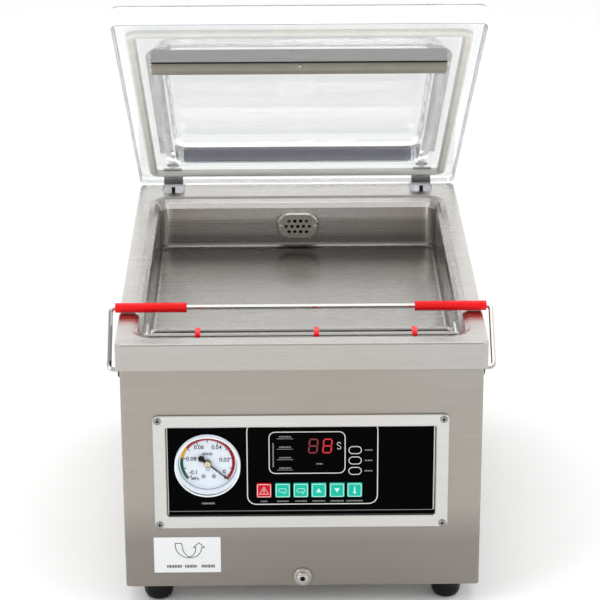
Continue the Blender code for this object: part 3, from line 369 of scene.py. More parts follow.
LOOKS = {
    "housing": ["housing"],
    "rear": ["rear_panel"],
    "tray": ["chamber_tray"],
    "pan": ["base_pan", "tip_hinge_base_leaf", "tip_hinge_housing_leaf"],
    "cover": ["suction_cover"],
    "chrome": pair("clamp_bracket", "lid_hinge_pin") + ["clamp_wire", "bail_wire", "tip_hinge_pin"],
    "leaf": pair("lid_hinge_leaf"),
    "hinge": pair("lid_hinge_bracket"),
    "frame": ["panel_frame"],
    "bar": ["lid_bar", "heating_bar", "exhaust_filter", *pair("lift_cylinder")],
    "casting": ["pump_body", "pump_motor"],
    "laminate": ["transformer_core"],
    "winding": ["transformer_coil"],
    "black": pair("bail_bush")
    + ["motor_fan_cover", "suction_elbow", "mains_inlet", "gauge_needle"],
    "plate": ["control_plate", "display_module"],
    "acrylic": ["lid_shell"],
    "lens": ["gauge_lens"],
    "gasket": ["lid_gasket"],
    "strip": ["lid_strip"],
    "ptfe": ["heating_strip"],
    "red": ["clamp_sleeve_1", "clamp_sleeve_2", "clamp_sleeve_3", *pair("bail_grip")],
    "red_key": ["key_start"],
    "teal": ["key_vacuum_time", "key_seal_time", "key_up", "key_down", "key_temperature"],
    "rubber": pair("foot_front", "foot_rear"),
    "board": ["circuit_board"],
    "dial": ["gauge_case"],
}

INK = make_materials()
for look, nodes in LOOKS.items():
    for node in nodes:
        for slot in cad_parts[node].material_slots:
            slot.material = INK[look]


# -------- shapes


def new_item(name, shape, ink, smooth=35):
    """Links a mesh drawn in the frame, in metres."""
    bmesh.ops.recalc_face_normals(shape, faces=shape.faces)
    mesh = bpy.data.meshes.new(name)
    shape.to_mesh(mesh)
    shape.free()
    item = bpy.data.objects.new(name, mesh)
    bpy.context.scene.collection.objects.link(item)
    mesh.materials.append(INK[ink])
    mesh.shade_smooth()
    mesh.set_sharp_from_angle(angle=radians(smooth))
    return item


SLOTS = {  # the record's slot for each ink; the rest take dial_white
    **dict.fromkeys(("screw", "washer", "chrome", "hinge"), "bright_steel"),
    **dict.fromkeys(("bar", "frame"), "aluminium"),
    **dict.fromkeys(("lens", "edge"), "clear_acrylic"),
    **dict.fromkeys(("dim", "lit"), "red_plastic"),
    "black": "black_plastic",
    "brass": "copper",
    "rubber": "rubber",
}


def add_piece(name, shape, ink, body="shell", smooth=35, slot=None):
    """Hangs a new item on a body."""
    item = new_item(name, shape, ink, smooth)
    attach(item, body)
    slot or SLOTS.get(ink, "dial_white")
    return item


def skin(shape, rings, closed=False):
    """Skins a row of equal rings of points; its ends are capped unless it closes on itself."""
    loops = [[shape.verts.new(point) for point in ring] for ring in rings]
    pairs = list(zip(loops, loops[1:]))
    if closed:
        pairs.append((loops[-1], loops[0]))
    else:
        shape.faces.new(loops[0])
        shape.faces.new(loops[-1])
    for low, high in pairs:
        for i in range(len(low)):
            j = (i + 1) % len(low)
            shape.faces.new((low[i], low[j], high[j], high[i]))
    return shape


def turned(shape, profile, place, sides=24):
    """A turned body from (radius, along) points, closed on its axis at both ends."""
    rings = []
    for radius, along in profile:
        spots = circle(max(radius, 0.001), sides)
        rings.append([place(u, v, along) for u, v in spots])
    return skin(shape, rings)


def hoop(profile, place, sides=28):
    """A turned ring round its axis, from a closed profile of (radius, along) points."""
    rings = [[place(u, v, along) for u, v in circle(radius, sides)] for radius, along in profile]
    return skin(bmesh.new(), rings, closed=True)


def facing(centre, point=at):
    """Places what is drawn across X and Z, and forwards to -Y, at a point."""
    x0, y0, z0 = centre
    return lambda across, up, out: point(x0 + across, y0 - out, z0 + up)


def rearwards(centre, point=at):
    """Places what is drawn across X and Z, and backwards to +Y, at a point."""
    x0, y0, z0 = centre
    return lambda across, up, out: point(x0 + across, y0 + out, z0 + up)


def upright(centre, point=at):
    """Places what is drawn in plan, and upwards, at a point."""
    x0, y0, z0 = centre
    return lambda across, back, up: point(x0 + across, y0 + back, z0 + up)


def sideways(centre, way, point=at):
    """Places what is drawn across Y and Z, and outwards along X, at a point."""
    x0, y0, z0 = centre
    return lambda back, up, out: point(x0 + way * out, y0 + back, z0 + up)


def plate(shape, outline, low, high, place):
    """An outline in two coordinates, between two heights along the third."""
    return skin(shape, [[place(u, v, level) for u, v in outline] for level in (low, high)])


def line(shape, points, width, low, high, place, closed=False):
    """A raised line of a width through points."""
    path = [Vector(point) for point in points]
    count = len(path)
    left, right = [], []
    for i, point in enumerate(path):
        before = path[(i - 1) % count] if closed or i > 0 else point
        after = path[(i + 1) % count] if closed or i < count - 1 else point
        back, ahead = point - before, after - point
        ways = [way.normalized() for way in (back, ahead) if way.length > 0]
        way = sum(ways, Vector((0, 0))).normalized()
        side = Vector((-way.y, way.x)) * (width / 2 / max(way.dot(ways[0]), 0.4))
        left.append(point + side)
        right.append(point - side)
    if closed:
        rings = []
        for i in range(count):
            corners = ((left[i], low), (right[i], low), (right[i], high), (left[i], high))
            rings.append([place(*spot, level) for spot, level in corners])
        return skin(shape, rings, closed=True)
    outline = [tuple(spot) for spot in left + right[::-1]]
    return plate(shape, outline, low, high, place)


def stroke(shape, points, width, place, closed=False):
    """A printed line."""
    return line(shape, points, width, 0, INK_HEIGHT, place, closed)


def oblong(x, z):
    """A rectangle's corners, counterclockwise."""
    return [(x[0], z[0]), (x[1], z[0]), (x[1], z[1]), (x[0], z[1])]


def rounded(x, z, corner, steps=5):
    """A rounded rectangle's points, counterclockwise."""
    points = []
    middles = ((x[1], z[1], -1, -1), (x[0], z[1], 1, -1), (x[0], z[0], 1, 1), (x[1], z[0], -1, 1))
    for quarter, (edge_x, edge_z, way_x, way_z) in enumerate(middles):
        centre = (edge_x + way_x * corner, edge_z + way_z * corner)
        points += arc(corner, pi / 2 * quarter, pi / 2 * (quarter + 1), steps, centre)
    return points


def circle(radius, sides=28, centre=(0, 0)):
    """A circle's points, counterclockwise."""
    return arc(radius, 0, tau, sides, centre)[:-1]


def arc(radius, start, end, steps, centre=(0, 0)):
    """Points along an arc, both ends included."""
    angles = [start + (end - start) * i / steps for i in range(steps + 1)]
    return [(centre[0] + radius * cos(a), centre[1] + radius * sin(a)) for a in angles]


def tube(shape, path, radius, sides=10):
    """A round bar through points in the frame."""
    points = [Vector(point) for point in path]
    last = len(points) - 1
    normal = (points[1] - points[0]).orthogonal().normalized()
    rings = []
    for i, point in enumerate(points):
        way = (points[min(i + 1, last)] - points[max(i - 1, 0)]).normalized()
        normal = (normal - way * normal.dot(way)).normalized()
        side = way.cross(normal)
        rings.append([point + normal * u + side * v for u, v in circle(radius, sides)])
    return skin(shape, rings)


def smooth_path(corners, steps=8):
    """A Catmull-Rom route through points."""
    points = [Vector(corner) for corner in corners]
    points = [points[0] * 2 - points[1]] + points + [points[-1] * 2 - points[-2]]
    route = []
    for a, b, c, d in zip(points, points[1:], points[2:], points[3:]):
        for step in range(steps):
            t = step / steps
            curve = (b * 2 + (c - a) * t + (a * 2 - b * 5 + c * 4 - d) * t * t) / 2
            route.append(curve + (b * 3 - a - c * 3 + d) * (t**3) / 2)
    return route + [points[-2]]


def relief(shape, radius, height, place, rings=14, sides=48):
    """A round head whose face follows a height function of its own plane, closed at the back."""
    grid = []
    for step in range(1, rings + 1):
        spots = circle(radius * step / rings, sides)
        grid.append([place(u, v, height(u, v)) for u, v in spots])
    grid.append([place(u, v, 0) for u, v in circle(radius, sides)])
    loops = [[shape.verts.new(point) for point in ring] for ring in grid]
    middle = shape.verts.new(place(0, 0, height(0, 0)))
    for i in range(sides):
        shape.faces.new((middle, loops[0][i], loops[0][(i + 1) % sides]))
    for low, high in zip(loops, loops[1:]):
        for i in range(sides):
            j = (i + 1) % sides
            shape.faces.new((low[i], low[j], high[j], high[i]))
    shape.faces.new(loops[-1])
    return shape


def cross_head(radius, rise, slot, depth):
    """The face of a domed screw head with a cross recess."""

    def height(u, v):
        reach = sqrt(u * u + v * v)
        face = rise * sqrt(max(0.0, 1 - (reach / (radius * 1.04)) ** 2))
        narrow = min(abs(u), abs(v))
        inside = reach < radius * 0.62 and narrow < slot
        return face - depth * (1 - reach / radius) if inside else face

    return height


def text(shape, words, size, place):
    """Printed figures, centred, from the built-in typeface."""
    curve = bpy.data.curves.new("figures", "FONT")
    curve.body = words
    curve.size = size
    curve.align_x = curve.align_y = "CENTER"
    curve.resolution_u = 3
    curve.extrude = INK_HEIGHT / 2
    curve.offset = size * 0.022  # for a bolder stroke
    item = bpy.data.objects.new("figures", curve)
    bpy.context.scene.collection.objects.link(item)
    bpy.context.view_layer.update()
    drawn = item.evaluated_get(bpy.context.evaluated_depsgraph_get())
    mesh = bpy.data.meshes.new_from_object(drawn)
    bpy.data.objects.remove(item, do_unlink=True)
    for vertex in mesh.vertices:
        u, v, w = vertex.co
        vertex.co = place(u, v, INK_HEIGHT / 2 + w)
    shape.from_mesh(mesh)
    bpy.data.meshes.remove(mesh)


def small_screw(name, place, radius, rise, slot, depth, body="shell", grid=(14, 48)):
    """A plated screw's domed head."""
    shape = relief(bmesh.new(), radius, cross_head(radius, rise, slot, depth), place, *grid)
    add_piece(name, shape, "chrome", body, HEAD_ANGLE)


def caption(shape, x, z, width, place, height=1.3, upright_row=False):
    """A row of small dashes in place of a printed word."""
    count = max(2, round(width / 1.45))
    pitch = width / count
    half = pitch * 0.31
    for i in range(count):
        along = pitch * (i + 0.5) - width / 2
        tall = height * (0.4 + 0.05 * (i % 3))
        if upright_row:
            dash = oblong((x - tall, x + tall), (z + along - half, z + along + half))
        else:
            dash = oblong((x + along - half, x + along + half), (z - tall, z + tall))
        plate(shape, dash, 0, DASH_HEIGHT, place)


# -------- control panel

LAMP_ROWS = (-105.9, -116.1, -126.4)
KEYS = {  # each key's X and the width of its caption
    "key_start": (-34.5, 6.5),
    "key_vacuum_time": (-17.6, 11),
    "key_seal_time": (-1.2, 11),
    "key_up": (14.9, 12),
    "key_down": (31.4, 12.5),
    "key_temperature": (47.3, 15.5),
}


def panel_prints():
    """Borders, outlines and dashes printed on the black plate; heights are below the flange."""
    place = facing((0, PLATE_FRONT, TOP))
    left, right, foot, head = -121, 118.7, -165.5, -80
    shape = bmesh.new()
    stroke(shape, rounded((-49.4, 67.9), (-159, -78.6), 8), 0.9, place, closed=True)
    stroke(shape, rounded((-29.6, 38.6), (-128.4, -87.7), 5.5), 0.8, place, closed=True)
    for z in LAMP_ROWS:
        stroke(shape, rounded((42, 53.2), (z - 3.5, z + 3.5), 3.4), 0.7, place, closed=True)
    stroke(shape, [(right, foot + 0.3), (right, head)], 1.1, place)
    stroke(shape, [(left, -176), (left, head)], 0.8, place)
    add_piece("panel_outlines", shape, "ink_white")

    shape = bmesh.new()
    stroke(shape, [(left, foot), (right, foot)], 0.5, place)
    for z in LAMP_ROWS:
        caption(shape, 59.6, z, 7.3, place)
    caption(shape, -85, -157.7, 12, place, 1.9)
    for x, width in KEYS.values():
        caption(shape, x, -156.1, width, place)
    add_piece("panel_captions", shape, "ink_grey")


def display_prints():
    """What shows on the display: four rows, the figures and their unit."""
    face = span_of("display_module")[0].y
    place = facing((0, face, TOP))
    shape = bmesh.new()
    for z in (-94.4, -104.6, -115, -125.2):
        stroke(shape, [(-22.6, z), (-8.1, z)], 0.4, place)
        caption(shape, -15.3, z + 2, 11, place)
    caption(shape, -26, -110.5, 24, place, upright_row=True)
    caption(shape, 15.6, -119.3, 6.4, place)
    add_piece("display_captions", shape, "ink_grey")

    upper = [(1.6, 2.1), (0.7, 3.2), (-0.8, 3.2), (-1.5, 2), (-1.1, 0.7)]
    lower = [(1.1, -0.6), (1.5, -2), (0.8, -3.2), (-0.7, -3.2), (-1.6, -2.1)]
    shape = bmesh.new()
    stroke(shape, smooth_path(upper + lower, 4), 0.5, facing((33.1, face, TOP - 101.6)))
    add_piece("display_unit", shape, "ink_white")

    low, half, high = -108.3, -101.7, -95.1
    inset, width = 0.5, 1.4
    for name, left, ink in (("tens", 5.9, "dim"), ("units", 18.6, "lit")):
        right = left + 8.3
        shape = bmesh.new()
        bars = (
            ((left + inset + 1, high), (right - inset, high)),
            ((left + inset + 0.5, half), (right - inset - 0.5, half)),
            ((left + inset, low), (right - inset - 1, low)),
            ((left, low + inset), (left + 0.4, half - inset)),
            ((left + 0.6, half + inset), (left + 1, high - inset)),
            ((right - 1, low + inset), (right - 0.6, half - inset)),
            ((right - 0.4, half + inset), (right, high - inset)),
        )
        for bar in bars:
            stroke(shape, bar, width, place)
        add_piece("display_" + name, shape, ink)


def key_marks():
    """The pale rim and the pictogram on each key."""
    for name, (x, _) in KEYS.items():
        low, high, middle = span_of(name)
        place = facing((x, low.y, middle.z))
        half_x, half_z = (high.x - low.x) / 2 - 0.9, (high.z - low.z) / 2 - 0.9
        shape = bmesh.new()
        rim = rounded((-half_x, half_x), (-half_z, half_z), 1.3)
        line(shape, rim, 0.6, -0.1, INK_HEIGHT, place, closed=True)
        if name == "key_start":
            stroke(shape, [(-4, -3.4), (4, -3.4), (0, 3.6)], 0.42, place, closed=True)
            stroke(shape, [(0, -0.9), (0, 1.4)], 0.7, place)
            plate(shape, circle(0.45, 10, (0, -2.1)), 0, INK_HEIGHT, place)
        elif name in ("key_vacuum_time", "key_seal_time"):
            stroke(shape, rounded((-3.6, 3.4), (-1.7, 1.9), 1.5), 0.4, place, closed=True)
            stroke(shape, [(1, -3), (2.4, -3)], 0.5, place)
        elif name == "key_up":
            plate(shape, [(-2.4, -2), (2.4, -2), (0, 2.2)], 0, INK_HEIGHT, place)
        elif name == "key_down":
            plate(shape, [(-2.4, 2), (0, -2.2), (2.4, 2)], 0, INK_HEIGHT, place)
        else:
            stem = [(-0.6, -1.2), (0.6, -1.2), (0.4, 3.6), (-0.4, 3.6)]
            plate(shape, circle(1.3, 14, (0, -2.2)), 0, INK_HEIGHT, place)
            plate(shape, stem, 0, INK_HEIGHT * 1.2, place)
        ink = "ink_white" if name == "key_start" else "pale"
        add_piece(name + "_mark", shape, ink, name)


GAUGE = (-85.0, TOP - 119.1)
GAUGE_FRONT = PLATE_FRONT - 6.3
DIAL_FRONT = GAUGE_FRONT + 10.5
DIAL_RING = 22  # radius where the ticks end and the coloured bands start
GAUGE_SIDES = 72
SCALE = (radians(221), radians(-41))  # full vacuum, and none, where the needle rests


def scale_angle(share):
    """Where a share of the dial's scale stands."""
    return SCALE[0] + (SCALE[1] - SCALE[0]) * share


def dial_bands():
    """The three coloured bands round the dial."""
    place = facing((GAUGE[0], DIAL_FRONT, GAUGE[1]))
    for name, low, high in (("green", 0, 0.2), ("yellow", 0.2, 0.3), ("red", 0.3, 1)):
        steps = max(4, round(60 * (high - low)))
        ends = scale_angle(low), scale_angle(high), steps
        rings = []
        for far, near in zip(arc(24.8, *ends), arc(DIAL_RING, *ends)):
            corners = ((far, 0), (near, 0), (near, INK_HEIGHT), (far, INK_HEIGHT))
            rings.append([place(*spot, level) for spot, level in corners])
        shape = skin(bmesh.new(), rings)
        add_piece("dial_band_" + name, shape, "ink_" + name)


def dial_marks():
    """Ticks, figures and small round marks on the dial, and a thin black ring round its edge,
    painted shadow.
    """
    x0, z0 = GAUGE
    place = facing((x0, DIAL_FRONT, z0))
    shape = bmesh.new()
    for i in range(11):
        way = scale_angle(i / 10)
        reaches = (19 if i % 2 == 0 else 20, DIAL_RING)
        stroke(shape, [(reach * cos(way), reach * sin(way)) for reach in reaches], 0.8, place)
    figures = (
        ("0.08", 5.4, -14.6, 3.8),
        ("0.06", 5.4, -7.6, 15.2),
        ("0.04", 5.4, 8.2, 14.9),
        ("0.02", 5.4, 15, 2.6),
        ("0", 5.4, 14.8, -9),
        ("-0.1", 5.4, -13, -9.6),
        ("MPa", 4.2, -11.5, -15.8),
    )
    for words, size, u, v in figures:
        text(shape, words, size, facing((x0 + u, DIAL_FRONT, z0 + v)))
    # Painted shadow where the case's wall meets the dial's edge.
    stroke(shape, circle(26.3, GAUGE_SIDES), 0.4, place, closed=True)
    stroke(shape, circle(1.5, 18, (0, -6.4)), 0.5, place, closed=True)
    for u in (-4, 5.3):
        stroke(shape, circle(1.7, 18, (u, -13.6)), 0.5, place, closed=True)
        plate(shape, circle(0.9, 10, (u, -13.6)), 0, INK_HEIGHT, place)
    caption(shape, 0, 8.6, 9.5, place, 2.8)
    add_piece("dial_marks", shape, "ink_black")


def needle_details():
    """The needle's tail and tip, drawn along it and turned to its rest, and its boss."""
    x0, z0 = GAUGE
    spin = Matrix.Rotation(SCALE[1], 2)
    front = GAUGE_FRONT + 8.1

    def place(along, across, out):
        u, v = spin @ Vector((along, across))
        return at(x0 + u, front - out, z0 + v)

    tail = [(-3, 1), (-7.5, 3.4), (-10.4, 1.6), (-10.4, -1.6), (-7.5, -3.4), (-3, -1)]
    shape = plate(bmesh.new(), tail, 0, 0.5, place)
    plate(shape, [(19.2, 0), (21, 1.5), (22.6, 0), (21, -1.5)], 0, 0.5, place)
    add_piece("needle_tail", shape, "black", "needle")
    profile = [(0, -0.4), (2.9, -0.4), (2.9, 0.7), (2.3, 1.1), (0.9, 1.1), (0.9, 0.7), (0, 0.7)]
    shape = turned(bmesh.new(), profile, facing((x0, GAUGE_FRONT + 7.4, z0)))
    add_piece("needle_boss", shape, "brass", "needle")


def gauge_cap():
    """The gauge's stepped case, in place of the plain one, and the clear cap over its dial."""
    place = facing((GAUGE[0], PLATE_FRONT, GAUGE[1]))
    bezel = [(29.6, -24.7), (29.6, 0.6), (29.1, 1.0), (27.2, 1.0), (26.6, 0.5), (26.6, -4.2)]
    shape = turned(bmesh.new(), [(0, -24.7), *bezel, (0, -4.2)], place, GAUGE_SIDES)
    # The case, bezel included, takes the dial's white: painted reflection, in place of the white
    # reflections on a silver bezel.
    case = add_piece("gauge_case_stepped", shape, "dial")
    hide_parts("gauge_case")
    wall = ((29.0, 1.1), (29.5, 1.1), (29.5, 4.6), (29.0, 4.6))
    rim = ((28.5, 4.7), (29.6, 4.7), (29.6, 5.9), (29.2, 6.3), (28.5, 6.3))
    for name, profile, ink in (("wall", wall, "lens"), ("rim", rim, "edge")):
        shape = hoop(profile, place, GAUGE_SIDES)
        add_piece("gauge_cap_" + name, shape, ink)


def panel_screws():
    """The panel frame's four screws, each with a black cross in its head's recess, painted shade.
    """
    front = span_of("panel_frame")[0].y
    radius, rise = 3.6, 1.3
    arm, half = (-radius * 0.6, radius * 0.6), (-radius * 0.14, radius * 0.14)
    face = cross_head(radius, rise, radius * 0.16, rise * 1.1)
    for row, z in (("top", TOP - 74.1), ("bottom", TOP - 176.4)):
        for side, x in (("left", -129), ("right", 126.6)):
            name = f"frame_screw_{row}_{side}"
            place = facing((x, front + 0.05, z))
            head = relief(bmesh.new(), radius, face, place)
            add_piece(name, head, "screw", smooth=HEAD_ANGLE)
            # A thin black cross in each head's recess: painted shade.
            cross = plate(bmesh.new(), oblong(arm, half), 0.02, 0.3, place)
            plate(cross, oblong(half, arm), 0.02, 0.29, place)
            add_piece(name + "_recess_painted_shade", cross, "black")


def label():
    """A white film label with a turning arrow in outline, and dashes in place of its words."""
    left, high = -135.2, TOP - 190.4
    film = rounded((left, -74.5), (TOP - 226, high), 0.6)
    shape = plate(bmesh.new(), film, 0, 0.16, facing((0, BODY_FRONT - 0.03, 0)))
    add_piece("label_film", shape, "label")
    shape = bmesh.new()
    over = facing((left, BODY_FRONT - 0.19, high))
    outer = [(19.3, -6.1), (20.5, -13.2), (25.2, -18.6), (32.2, -20.8)]
    outer += [(39.3, -18.8), (42.6, -14.4), (43.5, -10.4)]
    head = [(45.9, -10.4), (40.9, -5.6), (36, -10.4)]
    inner_right = [(38.1, -10.4), (37.2, -15.3), (34.1, -19.6)]
    inner_left = [(31, -19.6), (27, -14.5), (25.2, -6.1)]
    arrow = smooth_path(outer, 4) + head + smooth_path(inner_right, 4) + smooth_path(inner_left, 4)
    line(shape, arrow, 0.65, 0, DASH_HEIGHT, over, closed=True)
    for x, width in ((18.3, 14), (33.2, 11), (49, 12.4)):
        caption(shape, x, -29.4, width, over, 3.2)
    add_piece("label_print", shape, "ink_black", slot="black_plastic")


# -------- housing


def housing_screw():
    """A socket screw in a cup washer, in place of the plain solid, with its nut behind."""
    z = span_of("housing_screw")[2].z
    head, socket = 5.6, 2.2

    def height(u, v):
        hexagon = max(abs(u * cos(tau * k / 6) + v * sin(tau * k / 6)) for k in range(3))
        return 1.2 if hexagon < socket else 4.2 - 1.6 * (sqrt(u * u + v * v) / head) ** 3

    place = facing((0, BODY_FRONT - 0.3, z))
    profile = [(5.7, 0), (9, 0), (9, 0.5), (8.2, 1.5), (6.6, 2.1), (5.7, 1.9)]
    add_piece("cup_washer", hoop(profile, place, 48), "washer", smooth=HEAD_ANGLE)
    # A black hexagon at the bottom of the socket: painted shade.
    floor = circle((socket - 0.05) / cos(pi / 6), 6)
    shape = plate(bmesh.new(), floor, 1.25, 2.4, place)
    add_piece("socket_painted_shade", shape, "black")
    shape = relief(bmesh.new(), head, height, place, 30, 60)
    behind = facing((0, BODY_FRONT, z))
    turned(shape, [(0, -0.5), (2.4, -0.5), (2.4, -4.4), (0, -4.4)], behind, 16)
    turned(shape, [(0, -4.4), (5, -4.4), (5, -8.2), (0, -8.2)], behind, 6)
    item = add_piece("housing_screw_detailed", shape, "chrome", smooth=40)
    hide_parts("housing_screw")


def mains_details():
    """The inlet's three pins and the two screws of its flange."""
    _, high, middle = span_of("mains_inlet")
    place = rearwards((middle.x, high.y, middle.z))
    shape = bmesh.new()
    for u, v in ((-7, -2), (7, -2), (0, 2)):
        plate(shape, rounded((u - 1, u + 1), (v - 2.2, v + 2.2), 0.4, 2), -17.5, -3.5, place)
    add_piece("inlet_pins", shape, "brass")
    for side, way in SIDES:
        place = rearwards((middle.x + way * 25.7, high.y, middle.z))
        small_screw("inlet_screw_" + side, place, 2.8, 1.1, 0.45, 1.1)


def rear_details():
    """Screws round the rear panel and a rating plate without words."""
    face = span_of("rear_panel")[1].y
    for side, way in SIDES:
        for row, z in (("low", 60), ("middle", 140), ("high", 222)):
            place = rearwards((way * 152, face, z))
            small_screw(f"rear_screw_{side}_{row}", place, 3.2, 1.3, 0.5, 1.3)
    x, z, thick = -112, 150, 0.5
    rim = rounded((-22, 22), (-15, 15), 1.5)
    shape = plate(bmesh.new(), rim, 0.02, thick, rearwards((x, face, z)))
    add_piece("rating_plate", shape, "frame")
    shape = bmesh.new()
    over = rearwards((x, face + thick, z))
    border = rounded((-20, 20), (-13, 13), 1)
    line(shape, border, 0.4, 0, DASH_HEIGHT, over, closed=True)
    for v in (8, 3, -2, -7):
        line(shape, [(-17, v), (17, v)], 0.3, 0, DASH_HEIGHT, over)
        caption(shape, -11, v + 2, 10, over, 1.2)
    add_piece("rating_plate_print", shape, "ink_black", slot="black_plastic")


def bail_washers():
    """Domed push-on caps on the bail's pivots, inside the legs' bend."""
    profile = [(2.55, 0.02), (6.2, 0.02), (6.2, 0.5), (5.4, 0.9), (2.55, 0.9)]
    for side, way in SIDES:
        low, high, middle = span_of("bail_bush_" + side)
        outer = max(abs(low.x), abs(high.x))
        shape = hoop(profile, sideways((way * outer, middle.y, middle.z), way))
        add_piece("bail_washer_" + side, shape, "chrome")


# -------- lid


def lid_edge():
    """The milled, milky edge all round the acrylic, and the thin lines where it ends."""
    half = span_of("lid_shell")[1].x
    low_edge, high_edge = LID_EDGE
    bands = (
        ("milled_edge", "edge", 0.2, low_edge, high_edge),
        ("edge_line_low", "ink_grey", 0.22, low_edge - 0.35, low_edge),
        ("edge_line_high", "ink_grey", 0.22, high_edge, high_edge + 0.35),
    )
    for name, ink, proud, low, high in bands:
        rings = []
        for out, z in ((0.05, low), (proud, low), (proud, high), (0.05, high)):
            outline = rounded((-half - out, half + out), (LID_Y[0] - out, LID_Y[1] + out), 8 + out)
            rings.append([lid_at(u, v, TOP + z) for u, v in outline])
        shape = skin(bmesh.new(), rings, closed=True)
        add_piece("lid_" + name, shape, ink, "lid", slot="clear_acrylic")


def lid_hinge_details():
    """Each leaf's bolt through the sheet, its nut, the end of its clamping tab, and a black plate
    for its slit, painted shade.
    """
    bolt_y = 182.5
    bolt = [(0, 0.1), (2.3, 0.1), (2.3, 19.1), (0, 19.1)]
    nut = [(0, 0.05), (6.5, 0.05), (6.5, 1), (4.6, 1.1), (4.6, 4.2)]
    nut += [(3.6, 6.3), (1.9, 7.4), (0, 7.7)]
    for side, way in SIDES:
        x = way * LEAF_X
        shape = turned(bmesh.new(), bolt, upright((x, bolt_y, TOP + 6), lid_at), 18)
        add_piece("lid_bolt_" + side, shape, "hinge", "lid")
        shape = turned(bmesh.new(), nut, upright((x, bolt_y, TOP + 25.25), lid_at))
        add_piece("lid_nut_" + side, shape, "chrome", "lid")
        tab = rounded((-9.4, 9.4), (174.6, 178.1), 0.8, 3)
        shape = plate(bmesh.new(), tab, 4.3, 5.8, upright((x, 0, TOP), lid_at))
        add_piece("lid_tab_" + side, shape, "bar", "lid")
        # A black plate on each leaf where its slit shows dark: painted shade.
        slit = oblong((-2.9, 2.9), (-15.7, -6.1))
        shape = plate(bmesh.new(), slit, 1.6, 2.1, rearwards((x, 198, TOP), lid_at))
        add_piece("leaf_slit_" + side, shape, "black", "lid", slot="rubber")


def hinge_cheeks():
    """The curved nylon guide beside each leaf in its slot, and a black plate under the slot,
    painted shade seen through the gaps.
    """
    bend = arc(3.2, pi, pi / 2, 6, (200.5, 1.2))
    outline = [(197.3, -6)] + bend + [(207, 7.2), (211, 6.4), (213.5, 2), (214, -6)]
    for side, way in SIDES:
        guide = sorted((way * (LEAF_X - 10.1), way * (LEAF_X - 11.4)))
        shape = plate(bmesh.new(), outline, *guide, sideways((0, 0, TOP), 1))
        add_piece("hinge_guide_" + side, shape, "label")
        # A black plate under each flange slot stands for the shade seen through it: painted shade.
        shade_plate = sorted((way * (LEAF_X + 10.3), way * (LEAF_X + 13)))
        shade_plate = rounded(shade_plate, (196, 222), 0.4, 2)
        shape = plate(bmesh.new(), shade_plate, -3.4, -2.2, upright((0, 0, TOP)))
        add_piece("hinge_slot_painted_shade_" + side, shape, "black", slot="rubber")


def bar_details():
    """The joint line along the lid's bar, the screw in its strip and the pegs in its ends."""
    half = 132.6
    seam = oblong((-half, half), (TOP - 7.3, TOP - 6.4))
    shape = plate(bmesh.new(), seam, -1.5, 0.05, facing((0, -169.6, 0), lid_at))
    add_piece("bar_joint", shape, "black", "lid")
    place = facing((0.4, -167.5, TOP - 10.2), lid_at)
    small_screw("strip_screw", place, 1.4, 0.6, 0.25, 0.5, "lid", (8, 24))
    peg = [(0, -0.5), (1.9, -0.5), (1.9, 0.9), (1.3, 1.3), (0, 1.3)]
    for side, way in SIDES:
        for row, z in (("high", 0.8), ("low", -5)):
            place = sideways((way * 133, -162, TOP + z), way, lid_at)
            shape = turned(bmesh.new(), peg, place, 16)
            add_piece(f"bar_peg_{side}_{row}", shape, "chrome", "lid")


# -------- chamber


def chamber_details():
    """Rivets in the suction cover's ends and rings round the lift cylinders' rods."""
    low, _, middle = span_of("suction_cover")
    for side, way in SIDES:
        place = facing((way * 17.6, low.y + 0.05, middle.z))
        small_screw("cover_rivet_" + side, place, 1.7, 0.6, 0.25, 0.5, grid=(8, 24))
    profile = [(4.7, 0.05), (9.2, 0.05), (9.2, 0.9), (8.4, 1.3), (5.4, 1.3), (4.7, 0.8)]
    for side, _ in SIDES:
        _, high, middle = span_of("lift_cylinder_" + side)
        place = upright((middle.x, middle.y, high.z))
        add_piece("lift_seal_" + side, hoop(profile, place), "rubber")


# -------- inside

PUMP_X = -20
HOSE_Z = 172  # height of the pump's outlet


def hose():
    """The flexible vacuum hose from the pump to the chamber's elbow, and its two clips."""
    corners = [(PUMP_X, 15.3), (PUMP_X, 60), (-12, 100), (-2, 140), (0, 175)]
    corners = [(x, y, HOSE_Z) for x, y in corners]
    corners += [(0, 196, 176), (0, 203.5, 190), (0, 204.5, 207.7)]
    path = smooth_path([at(*corner) for corner in corners], 10)
    item = new_item("vacuum_hose_bending", tube(bmesh.new(), path, 8 * MM, 18), "hose")
    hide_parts("vacuum_hose")
    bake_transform(item)
    clip = [(8.1, -2.5), (9.2, -2.5), (9.2, 2.5), (8.1, 2.5)]
    shape = hoop(clip, rearwards((PUMP_X, 19, HOSE_Z)))
    add_piece("hose_clip_pump", shape, "chrome", "base")
    shape = hoop(clip, upright((0, 204.5, 204)))
    add_piece("hose_clip_elbow", shape, "chrome")


